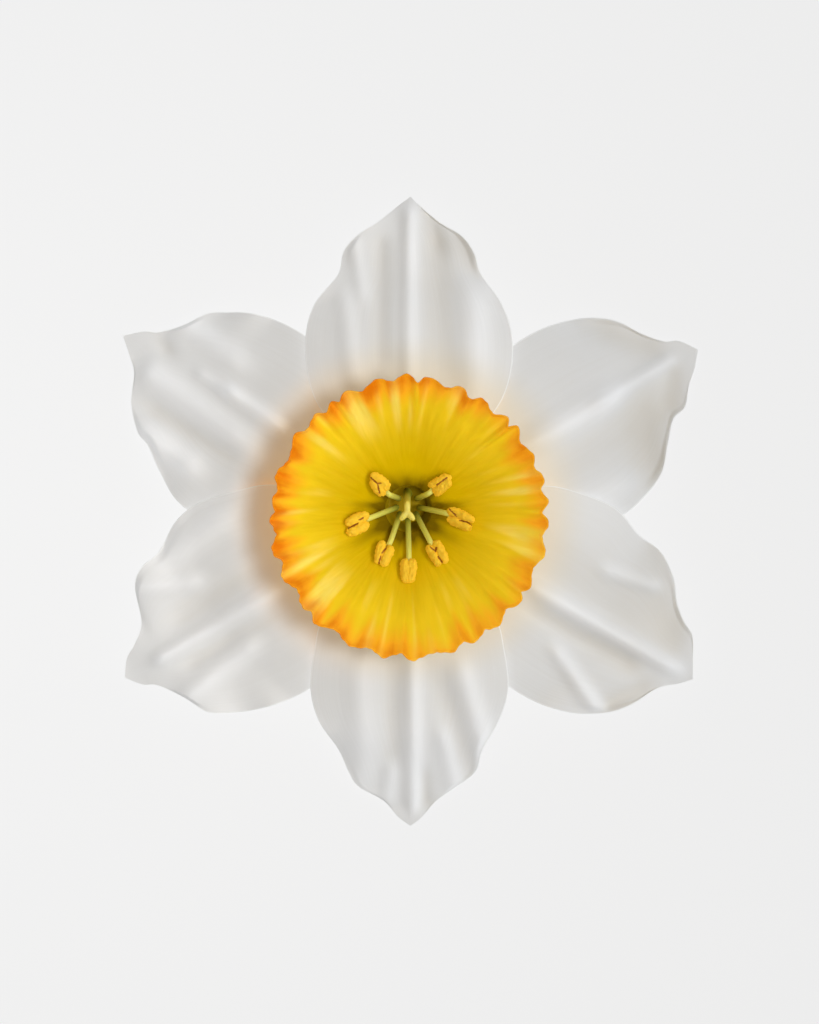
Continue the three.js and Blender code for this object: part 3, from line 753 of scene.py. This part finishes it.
class NARCISSUS_OT_tepals(bpy.types.Operator):
    """Model the six tepals"""

    bl_idname = "narcissus.tepals"
    bl_label = "Tepals"

    def execute(self, context):
        material = tepal_material(context.scene.narcissus_colours)
        for tepal in TEPALS:
            self.blade(tepal, context.scene.narcissus_sizes, material)
        return {"FINISHED"}

    def blade(self, tepal, sizes, material):
        body = sizes.tepal_thickness / MM
        edge = sizes.tepal_margin / MM
        inset = 0.5 * (TEPAL_SOLID - body)
        claw = ((-CLAW_SIDE[0], CLAW_SIDE[1]), (-SHOULDER_SIDE[0], SHOULDER_SIDE[1]))
        margins = (claw + tepal["left"], (CLAW_SIDE, SHOULDER_SIDE) + tepal["right"])

        def place(side, share):
            eased = math.sin(COLUMN_EASE * side) / math.sin(COLUMN_EASE)
            point = tepal_place(tepal, margins, eased, share)
            rested = inset * smoothstep(0, 1.5, point.z)
            return point + Vector((0, 0, rested + (body - edge) * thinning(side, share)))

        def rise(side, share, vert):
            return Vector((0, 0, lerp(body, edge, thinning(side, share))))

        bm = make_sheet(TEPAL_GRID, place)
        shares = sheet_shares(bm)
        paint(
            bm,
            # margin: painted highlight along the margin
            margin=lambda vert: painted_margin_highlight(*shares(vert)),
            # fold: the folds' height, which also paints highlight and shade on the blade
            fold=lambda vert: fold_height(tepal, *on_tepal(tepal, vert.co), shares(vert)[0]),
            # tone: painted light and shade along the blade
            tone=lambda vert: painted_light_along(tepal, on_tepal(tepal, vert.co)[1]),
            # warm base: the tepal's own yellowish base with painted bounce light from the cup
            warm=lambda vert: 1 - smoothstep(WARM_R, PALE_R, vert.co.xy.length),
            glow=lambda vert: cup_glow(vert.co),
        )
        thicken(bm, rise)
        map_sheet(bm)
        name = "tepal_" + tepal["name"]
        finish_piece(name + "_blade", bm, material, name)


# Corona

def corona_inner(share, degrees, depth):
    """A point on the corona's pleated inner face: distance from the axis and height."""
    radius, height = spline(CORONA_INNER, share)
    frill, reach = ripple(CRESTS, degrees)
    groove, _ = ripple(GROOVES, degrees)
    pleat = depth * frill * smoothstep(0.5, 1, share)
    throat = 0.4 * groove * smoothstep(0.14, 0.35, share) * (1 - smoothstep(0.35, 0.8, share))
    dents = 0.4 * ring_noise(degrees, 24, 9.0)
    lengthen = (0.15 * frill + reach + dents) * smoothstep(0.7, 1, share)
    outwards = 0.7 * (pleat + throat) + 0.75 * lengthen
    return radius + outwards, height + 0.65 * lengthen - 0.7 * (pleat + throat)


def ribs(degrees, share):
    """Soft uneven ribs up the wall: above zero on a rib and below it in a groove."""
    return 1.1 * ring_noise(degrees, 5, 0.9 * share) + 0.9 * ring_noise(degrees, 12, 5 + 1.3 * share)


def crinkle(degrees, share):
    """The wall's ribs, and small waves between the pleats that grow towards the rim."""
    rise = 0.32 * smoothstep(0.2, 0.6, share) * ribs(degrees, share)
    return rise + 0.15 * smoothstep(0.6, 1.0, share) * ring_noise(degrees, 20, 1.6 * share)


def painted_throat_shade(place):
    """How dark the throat is painted at a place, from 0 on the open wall to 1 between the filaments:
    painted shade over the throat's own olive colour.
    """
    from_middle = place.xy - Vector(THROAT_MIDDLE)
    shade = 0.78 * (1 - smoothstep(2.2, 7.2, from_middle.length))
    for angle, reach, width in RAYS:
        ray = compass(angle)
        ahead = from_middle.dot(ray)
        beside = abs(from_middle.x * ray.y - from_middle.y * ray.x)
        if ahead > 0:
            shade += 0.95 * bell(beside, 0.8 * width) * (1 - smoothstep(0.25 * reach, reach, ahead))
    return min(shade, 1.0)


def rim_orange(degrees, share):
    """How orange the corona is: most at the rim, and more at the top and left than elsewhere."""
    deep = 0.84 + 0.16 * math.cos(math.radians(degrees - 135))
    uneven = 0.07 * ring_noise(degrees, 2.3, 7.0) + 0.15 * ring_noise(degrees, 11, 3.0)
    start = 0.77 - 0.06 * deep + uneven
    return deep * max(smoothstep(start, start + 0.3, share), 0.9 * smoothstep(0.93, 0.985, share))


def painted_rib_highlight(degrees, share):
    """How strongly a highlight is painted on the open wall's ribs, fading towards the rim."""
    open_wall = smoothstep(0.45, 0.75, share) * (1 - 0.7 * smoothstep(0.8, 0.95, share))
    return open_wall * smoothstep(0.1, 0.65, ribs(degrees, share))


def corona_material(colours):
    nodes = Nodes("Corona")
    orange = nodes.attribute("orange")
    share = nodes.attribute("along")
    place = nodes.place(location=(-RIM_CENTRE[0] * MM, -RIM_CENTRE[1] * MM, 0))
    flat = nodes.add("VectorMath", {0: place, 1: (1, 1, 0)}, operation="MULTIPLY").outputs[0]
    ray = nodes.add("VectorMath", {0: flat}, operation="NORMALIZE").outputs[0]
    lift = nodes.add("CombineXYZ", {"Z": nodes.times(share, 0.16)}).outputs[0]
    streak_place = nodes.add("VectorMath", {0: ray, 1: lift}, operation="ADD").outputs[0]
    streaks = nodes.noise(streak_place, 15.0, detail=4, roughness=0.6)
    fine = nodes.noise(streak_place, 45.0)
    blotches = nodes.noise(place, 420.0, detail=3)
    ragged = nodes.swing(nodes.plus(streaks, nodes.swing(blotches, 0.6)), 0.9)
    open_wall = nodes.between(nodes.plus(share, nodes.swing(streaks, 0.32)), 0.3, 0.72)
    # Deep in the cup the wall is darker: partly its own olive colour and partly painted shade
    yellow = nodes.mix(open_wall, colours.corona_inside, colours.corona)
    level = nodes.times(orange, nodes.plus(ragged, 1.0), clamp=True)
    deepest = nodes.minus(nodes.times(level, 2.2), 1.2, clamp=True)
    rim = nodes.mix(deepest, colours.corona_rim, colours.corona_edge)
    wall = nodes.mix(nodes.times(level, 1.8, clamp=True), yellow, rim)
    # Painted shade deep in the throat and in the rays between the stamens
    dark = nodes.times(nodes.attribute("shade"), nodes.plus(nodes.times(ragged, 0.5), 1.0), clamp=True)
    wall = nodes.mix(dark, wall, colours.throat)
    # Painted highlight on the wall's ribs
    pale = nodes.times(nodes.attribute("rib"), nodes.plus(nodes.times(fine, 0.9), 0.4), clamp=True)
    wall = nodes.mix(pale, wall, colours.corona_rib)
    nodes.flesh(wall, (1.0, 0.75, 0.15), weight=0.4, roughness=0.4, scale=0.0006)
    gloss = nodes.times(open_wall, nodes.minus(0.5, nodes.times(orange, 0.4)))
    nodes.surface(Specular_IOR_Level=gloss)
    nodes.bump(veined(nodes, streaks, fine), 0.2, 0.0003)
    return nodes.material


class NARCISSUS_OT_corona(bpy.types.Operator):
    """Model the corona with its frilled rim"""

    bl_idname = "narcissus.corona"
    bl_label = "Corona"

    def execute(self, context):
        depth = context.scene.narcissus_sizes.pleat_depth / MM
        wall = context.scene.narcissus_sizes.corona_wall / MM

        def place(side, share):
            degrees = 180 * side
            turn = math.radians(degrees)
            radius, height = corona_inner(share, degrees, depth)
            wrinkle = crinkle(degrees, share)
            radius += CORONA_INSET + 0.7 * wrinkle
            height = min(height - 0.7 * wrinkle, CREST_TOP_Z)
            shift = axis_at(height)
            x = radius * math.cos(turn) + shift[0]
            y = radius * math.sin(turn) + shift[1]
            return Vector((x, y, height))

        def outwards(side, share, vert):
            thickness = lerp(wall, RIM_WALL, smoothstep(0.6, 1.0, share))
            normal = vert.normal if vert.normal.z < 0 else -vert.normal
            return thickness * normal

        bm = make_sheet(CORONA_GRID, place)
        shares = sheet_shares(bm)

        def on_wall(value_at):
            return lambda vert: value_at(180 * shares(vert)[0], shares(vert)[1])

        paint(
            # rib: painted highlight on the wall's ribs
            bm, orange=on_wall(rim_orange), rib=on_wall(painted_rib_highlight),
            # shade: painted shade in the throat
            shade=lambda vert: painted_throat_shade(vert.co),
        )
        thicken(bm, outwards)
        material = corona_material(context.scene.narcissus_colours)
        finish_piece("corona_cup", bm, material, "corona")
        return {"FINISHED"}


# Stamens

def filament_material(colours):
    nodes = Nodes("Filament")
    tone = height_colour(nodes, colours.filament_foot, colours.filament, 20.8, 27.6)
    streak = nodes.noise(nodes.place(scale=(1, 1, 0.15)), 2500.0)
    tone = nodes.mix(nodes.times(streak, 0.2), tone, (0.94, 0.93, 0.56))
    nodes.flesh(tone, (0.9, 1.0, 0.4), roughness=0.42)
    nodes.bump(streak, 0.3, 0.0001)
    return nodes.material


def anther_material(colours):
    nodes = Nodes("Anther")
    place = nodes.place()
    grains = nodes.add("TexVoronoi", {"Vector": place, "Scale": 9000.0}).outputs["Distance"]
    clumps = nodes.noise(place, 1500.0, detail=4)
    tone = nodes.mix(nodes.times(clumps, 0.6), colours.anther, (0.98, 0.71, 0.08))
    dark = nodes.between(nodes.plus(nodes.attribute("slit"), nodes.swing(clumps, 0.9)), 0.35, 0.75)
    tone = nodes.mix(dark, tone, colours.slit)
    nodes.flesh(tone, (1.0, 0.7, 0.2), weight=0.15, roughness=0.7)
    nodes.bump(nodes.plus(nodes.times(grains, -0.4), clumps), 0.6, 0.00012)
    return nodes.material


def stroke_distance(place, stroke):
    """How far a place is from the stroke between two others."""
    start = Vector(stroke[:2])
    along = Vector(stroke[2:]) - start
    share = (place - start).dot(along) / along.length_squared
    return (place - start - min(max(share, 0.0), 1.0) * along).length


def add_lobe(bm, lobe, depth, number):
    """One plump, grainy half of an anther."""
    x0, y0, x1, y1, width = lobe
    width *= PLUMPNESS
    made = bmesh.ops.create_uvsphere(bm, u_segments=56, v_segments=36, radius=1.0)["verts"]
    bmesh.ops.rotate(bm, verts=made, matrix=Matrix.Rotation(math.pi / 2, 3, "Y"))
    half = 0.5 * math.hypot(x1 - x0, y1 - y0) + 0.75 * width
    for vert in made:
        around = math.hypot(vert.co.y, vert.co.z)
        full = (1 - abs(max(-1.0, min(1.0, vert.co.x))) ** 2.8) ** (1 / 2.4)
        plump = full / around if around > 1e-6 else 0.0
        vert.co = Vector((half * vert.co.x, width * plump * vert.co.y, depth * plump * vert.co.z))
    bm.normal_update()
    offset = Vector((11.0 * number, 3.0 * x0, 5.0 * y0))
    grown = [
        sum(rise * noise.noise(grain * vert.co + offset) for grain, rise in LOBE_GRAINS)
        for vert in made
    ]
    for vert, rise in zip(made, grown):
        vert.co += rise * vert.normal
    turn = Matrix.Rotation(math.atan2(y1 - y0, x1 - x0), 3, "Z")
    bmesh.ops.rotate(bm, verts=made, matrix=turn)
    bmesh.ops.translate(bm, verts=made, vec=(0.5 * (x0 + x1), 0.5 * (y0 + y1), 0))


class NARCISSUS_OT_stamens(bpy.types.Operator):
    """Model the filaments and their anthers"""

    bl_idname = "narcissus.stamens"
    bl_label = "Stamens"

    def execute(self, context):
        colours = context.scene.narcissus_colours
        filament_finish = filament_material(colours)
        anther_finish = anther_material(colours)
        for number, stamen in enumerate(STAMENS, 1):
            middle = Vector(stamen["anther"])
            heading = compass(stamen["heading"])
            sizes = context.scene.narcissus_sizes
            self.filament(number, stamen, middle, heading, sizes.filament_radius / MM, filament_finish)
            self.anther(number, stamen, middle, heading, sizes.anther_depth / MM, anther_finish)
        return {"FINISHED"}

    def filament(self, number, stamen, middle, heading, radius, material):
        start = Vector(HUB) + RING_R * compass(stamen["root"])
        back = 0.5 * stamen["length"]
        end = middle - back * heading
        under = middle - (back - 0.9) * heading
        foot = TUBE_FLOOR_Z + 0.36
        stops = ((0, foot), (0.03, 18), (0.14, 21.6), (0.45, 24.4), (1, FILAMENT_TOP_Z - 0.3))
        path = tuple((*start.lerp(end, share), z) for share, z in stops)
        path += ((*under, FILAMENT_TOP_Z - 0.35),)

        def radius_at(share):
            return radius * (1 - 0.12 * share) * (1 - 0.5 * smoothstep(0.96, 1, share))

        bm = make_rod(path, radius_at, 24, 60)
        name = "filament_%d" % number
        finish_piece(name + "_stalk", bm, material, name)

    def anther(self, number, stamen, middle, heading, depth, material):
        bm = bmesh.new()
        for lobe in stamen["lobes"]:
            add_lobe(bm, lobe, depth, number)
        bmesh.ops.recalc_face_normals(bm, faces=bm.faces)
        slit = bm.verts.layers.float.new("slit")
        climb = math.tan(math.radians(ANTHER_TILT))
        for vert in bm.verts:
            if stamen["slits"] and vert.co.z > 0:
                near = min(stroke_distance(vert.co.xy, stroke) for stroke in stamen["slits"])
                near += 0.16 * abs(noise.noise(4 * vert.co))
                vert[slit] = bell(near, 0.2)
                vert.co.z -= 0.16 * bell(near, 0.22)
            vert.co.z += ANTHER_Z + climb * (vert.co.xy - middle).dot(heading)
        name = "anther_%d" % number
        finish_piece(name + "_sacs", bm, material, name)


# Pistil

def pistil_material(colours):
    nodes = Nodes("Pistil")
    tone = height_colour(nodes, colours.filament_foot, colours.stigma, 20.5, 26.6)
    bumps = nodes.noise(nodes.place(), 3500.0, detail=3)
    tone = nodes.mix(nodes.times(bumps, 0.3), tone, (0.82, 0.72, 0.25))
    nodes.flesh(tone, (1.0, 0.9, 0.4), roughness=0.4)
    nodes.bump(bumps, 0.5, 0.0001)
    return nodes.material


class NARCISSUS_OT_pistil(bpy.types.Operator):
    """Model the style with its three-lobed stigma"""

    bl_idname = "narcissus.pistil"
    bl_label = "Pistil"

    def execute(self, context):
        radius = context.scene.narcissus_sizes.style_radius / MM
        path = (
            (HUB[0], HUB[1] + RING_R, TUBE_FLOOR_Z + 0.36),
            (-0.5, 3.1, 16), (-0.5, 2.5, 20.5), (-0.5, 1, 24.6), (-0.5, 0.1, STIGMA[2]),
        )
        bm = make_rod(path, lambda share: radius * (1.08 - 0.4 * share), 20, 50)
        for angle in STIGMA_ARMS:
            made = bmesh.ops.create_uvsphere(bm, u_segments=24, v_segments=16, radius=1.0)["verts"]
            bmesh.ops.scale(bm, verts=made, vec=(1.0, 0.5, 0.45))
            bmesh.ops.translate(bm, verts=made, vec=(0.72, 0, 0))
            bmesh.ops.rotate(bm, verts=made, matrix=Matrix.Rotation(math.radians(angle), 3, "Z"))
            bmesh.ops.translate(bm, verts=made, vec=STIGMA)
        bmesh.ops.recalc_face_normals(bm, faces=bm.faces)
        material = pistil_material(context.scene.narcissus_colours)
        piece = finish_piece("pistil_style", bm, material, "pistil")
        remesh = piece.modifiers.new("One skin", "REMESH")
        remesh.mode = "VOXEL"
        remesh.voxel_size = 0.11 * MM
        remesh.use_smooth_shade = True
        smooth = piece.modifiers.new("Soft", "SMOOTH")
        smooth.iterations = 6
        return {"FINISHED"}


# Tube, ovary and stalk

def green_flesh(name, colour, pale):
    """Streaked green flesh: its nodes and its colour."""
    nodes = Nodes(name)
    streak = nodes.noise(nodes.place(scale=(1, 1, 0.12)), 1300.0, detail=4)
    mottle = nodes.noise(nodes.place(), 600.0, detail=3)
    tone = nodes.mix(streak, colour, pale)
    tone = nodes.mix(nodes.times(mottle, 0.3), tone, colour)
    nodes.flesh(tone, (0.8, 1.0, 0.4), roughness=0.45)
    nodes.bump(streak, 0.4, 0.0002)
    return nodes, tone


def tube_material(colours):
    """Pale green outside, and the throat's olive yellow inside."""
    nodes, outside = green_flesh("Tube", colours.tube, (0.88, 0.87, 0.62))
    inner = nodes.attribute("inner")
    gloss = nodes.minus(0.5, nodes.times(inner, 0.45))
    nodes.surface(Base_Color=nodes.mix(inner, outside, colours.tube_inside), Specular_IOR_Level=gloss)
    return nodes.material


def sampled(points, count):
    """A smooth curve through points, cut into even steps."""
    return [spline(points, i / count) for i in range(count + 1)]


def inside_tube(place):
    """1 on the tube's inner wall and floor, and 0 outside."""
    axis = axis_at(place.z)
    radius = math.hypot(place.x - axis[0], place.y - axis[1])
    wall = lerp(3.35, 3.95, smoothstep(12, 20, place.z))
    return 1 - smoothstep(wall - 0.05, wall + 0.05, radius) if place.z > TUBE_FLOOR_Z - 0.2 else 0.0


class NARCISSUS_OT_base(bpy.types.Operator):
    """Model the tube, the ovary and the cut stalk under the flower"""

    bl_idname = "narcissus.base"
    bl_label = "Tube and ovary"

    def execute(self, context):
        colours = context.scene.narcissus_colours
        ovary_finish = green_flesh("Ovary", colours.ovary, (0.62, 0.71, 0.38))[0].material
        self.tube(tube_material(colours))
        self.ovary(ovary_finish)
        self.stalk(ovary_finish)
        return {"FINISHED"}

    def tube(self, material):
        outside = ((0, TUBE_Z), (1.5, TUBE_Z), (2.75, TUBE_Z + 0.1), (3.2, 9.8), (3.75, 12), (4.2, 15),
                   (5.1, 17.6), (COLLAR_R, COLLAR_Z + 0.4), (COLLAR_R, 20.4), (COLLAR_R - 0.02, 21.5))
        lip = ((5.35, COLLAR_TOP_Z), (4.4, 21.25), (3.95, 20.85), (TUBE_MOUTH_R + 0.28, 20.72))
        inside = ((TUBE_MOUTH_R + 0.2, 20.66), (3.5, 20.1), (3.35, 19), (3.1, 15), (3.0, 12),
                  (TUBE_FLOOR_R - 0.3, TUBE_FLOOR_Z + 0.05), (0, TUBE_FLOOR_Z))
        bm = spin_profile(sampled(outside, 60) + sampled(lip, 12) + sampled(inside, 50), 120)
        paint(bm, inner=lambda vert: inside_tube(vert.co))
        finish_piece("tube_wall", bm, material, "perianth_tube")

    def ovary(self, material):
        height = OVARY_TOP_Z - OVARY_Z
        shares = ((0, 0), (0.3, 0), (0.62, 0.04), (0.87, 0.2), (1, 0.5), (0.95, 0.78), (0.8, 0.95),
                  (0.55, 1), (0, 1))
        profile = tuple((OVARY_R * r, OVARY_Z + height * z) for r, z in shares)

        def lobed(turn, z):
            middle = math.sin(math.pi * min(max((z - OVARY_Z) / height, 0), 1))
            return 1 + 0.06 * math.cos(3 * turn) - 0.05 * middle * bell(math.sin(1.5 * turn), 0.22)

        bm = spin_profile(sampled(profile, 70), 144, lobed)
        finish_piece("ovary_body", bm, material, "ovary")

    def stalk(self, material):
        profile = ((0, STALK_Z + 0.08), (0.9, STALK_Z + 0.04), (1.45, STALK_Z), (STALK_R, STALK_Z + 0.12),
                   (STALK_R, 1.1), (STALK_R, STALK_TOP_Z - 0.15), (1.5, STALK_TOP_Z), (0, STALK_TOP_Z))
        bm = spin_profile(sampled(profile, 40), 96, lambda turn, z: 1 + 0.025 * math.cos(8 * turn))
        finish_piece("stalk_stub", bm, material, "pedicel")


# Stage

def picked(name, wanted):
    """A collection of the pieces whose names are wanted, for a light to link to."""
    collection = bpy.data.collections.new(name)
    for piece in bpy.context.scene.objects:
        if piece.type == "MESH" and wanted(piece.name):
            collection.objects.link(piece)
    return collection


def place_light(light, place, power, target=LIGHT_TARGET):
    light.energy = power
    lamp = bpy.data.objects.new(light.name, light)
    lamp.location = place
    lamp.rotation_euler = (Vector(target) - Vector(place)).to_track_quat("-Z", "Y").to_euler()
    bpy.context.scene.collection.objects.link(lamp)
    return lamp


def key_light(power):
    """A soft light almost overhead, a little to the right. Thin tepals cast no shadow in it."""
    light = bpy.data.lights.new("Key", "SPOT")
    light.shadow_soft_size = 0.1
    light.spot_size = math.radians(12)
    light.spot_blend = 1.0
    lamp = place_light(light, KEY_PLACE, power, KEY_TARGET)
    casters = picked("Key casters", lambda name: not name.startswith("tepal"))
    lamp.light_linking.blocker_collection = casters


def wide_light(name, place, power, lit, colour=(1, 1, 1), shadow=False):
    """A wide soft light for the pieces that lit(name) picks."""
    light = bpy.data.lights.new(name, "AREA")
    light.shape = "DISK"
    light.size = 0.5
    light.color = colour
    light.use_shadow = shadow
    lamp = place_light(light, place, power)
    lamp.light_linking.receiver_collection = picked(name + " receivers", lit)


def side_lights(side_power, low_power):
    """Cool light from the right that models the folds, with one of their own for the right tepals."""
    def slopes_right(name):
        return name.startswith("tepal") and "right" in name

    def others(name):
        return name not in ("corona_cup", "floor") and not slopes_right(name)

    wide_light("Side", SIDE_PLACE, side_power, others, COOL)
    wide_light("Low side", LOW_PLACE, low_power, slopes_right, COOL)


def floor_material(colours):
    nodes = Nodes("Floor")
    grain = nodes.noise(nodes.place(), 40.0)
    shade = nodes.mix(nodes.times(grain, 0.01), FLOOR_DARK, FLOOR_LIGHT)
    nodes.surface(
        Base_Color=shade, Roughness=0.9, Specular_IOR_Level=0.0,
        Emission_Color=colours.floor, Emission_Strength=FLOOR_GLOW,
    )
    return nodes.material


class NARCISSUS_OT_stage(bpy.types.Operator):
    """Set up the floor, the soft lights and the camera"""

    bl_idname = "narcissus.stage"
    bl_label = "Stage"

    def execute(self, context):
        scene = context.scene
        stage = scene.narcissus_stage
        self.floor(scene)
        self.camera(scene, stage)
        key_light(stage.key_power)
        side_lights(stage.side_power, stage.low_power)
        wide_light("Fill", FILL_PLACE, stage.fill_power, lambda name: name == "corona_cup", shadow=True)
        world = bpy.data.worlds.new("Studio")
        world.use_nodes = True
        backdrop = world.node_tree.nodes["Background"]
        backdrop.inputs["Color"].default_value = (1.0, 0.99, 0.97, 1)
        backdrop.inputs["Strength"].default_value = stage.ambient
        scene.world = world
        scene.view_settings.view_transform = "Standard"
        return {"FINISHED"}

    def floor(self, scene):
        bm = bmesh.new()
        bmesh.ops.create_grid(bm, x_segments=1, y_segments=1, size=3.0)
        add_object("floor", bm, floor_material(scene.narcissus_colours))

    def camera(self, scene, stage):
        lens = bpy.data.cameras.new("Camera")
        lens.sensor_fit = "VERTICAL"
        lens.sensor_height = 24.0
        view_height = PICTURE[1] / stage.pixels_per_mm * MM
        lens.lens = lens.sensor_height * (stage.camera_height - MEASURED_HEIGHT) / view_height
        lens.clip_end = 20
        camera = bpy.data.objects.new("Camera", lens)
        offset = (PICTURE[0] / 2 - MIDDLE_COLUMN) / stage.pixels_per_mm * MM
        camera.location = (offset, 0, stage.camera_height)
        scene.collection.objects.link(camera)
        scene.camera = camera


class NARCISSUS_PT_panel(bpy.types.Panel):
    """The flower's sizes, colours and pieces"""

    bl_idname = "NARCISSUS_PT_panel"
    bl_label = "Narcissus Flower"
    bl_space_type = "VIEW_3D"
    bl_region_type = "UI"
    bl_category = "Narcissus"

    def draw(self, context):
        for group_name, group in GROUPS.items():
            column = self.layout.column()
            for name in group.__annotations__:
                column.prop(getattr(context.scene, group_name), name)
        for operator in OPERATORS:
            self.layout.operator(operator.bl_idname)


OPERATORS = (
    NARCISSUS_OT_base,
    NARCISSUS_OT_tepals,
    NARCISSUS_OT_corona,
    NARCISSUS_OT_stamens,
    NARCISSUS_OT_pistil,
    NARCISSUS_OT_stage,
)
GROUPS = {
    "narcissus_sizes": NarcissusSizes,
    "narcissus_colours": NarcissusColours,
    "narcissus_stage": NarcissusStage,
}
CLASSES = (*GROUPS.values(), *OPERATORS, NARCISSUS_PT_panel)


def register():
    for item in CLASSES:
        bpy.utils.register_class(item)
    for name, group in GROUPS.items():
        setattr(bpy.types.Scene, name, PointerProperty(type=group))


def unregister():
    for name in GROUPS:
        delattr(bpy.types.Scene, name)
    for item in reversed(CLASSES):
        bpy.utils.unregister_class(item)


def main():
    register()
    bpy.ops.narcissus.base()
    bpy.ops.narcissus.tepals()
    bpy.ops.narcissus.corona()
    bpy.ops.narcissus.stamens()
    bpy.ops.narcissus.pistil()
    bpy.ops.narcissus.stage()
    bpy.context.view_layer.update()


if __name__ == "__main__":
    main()
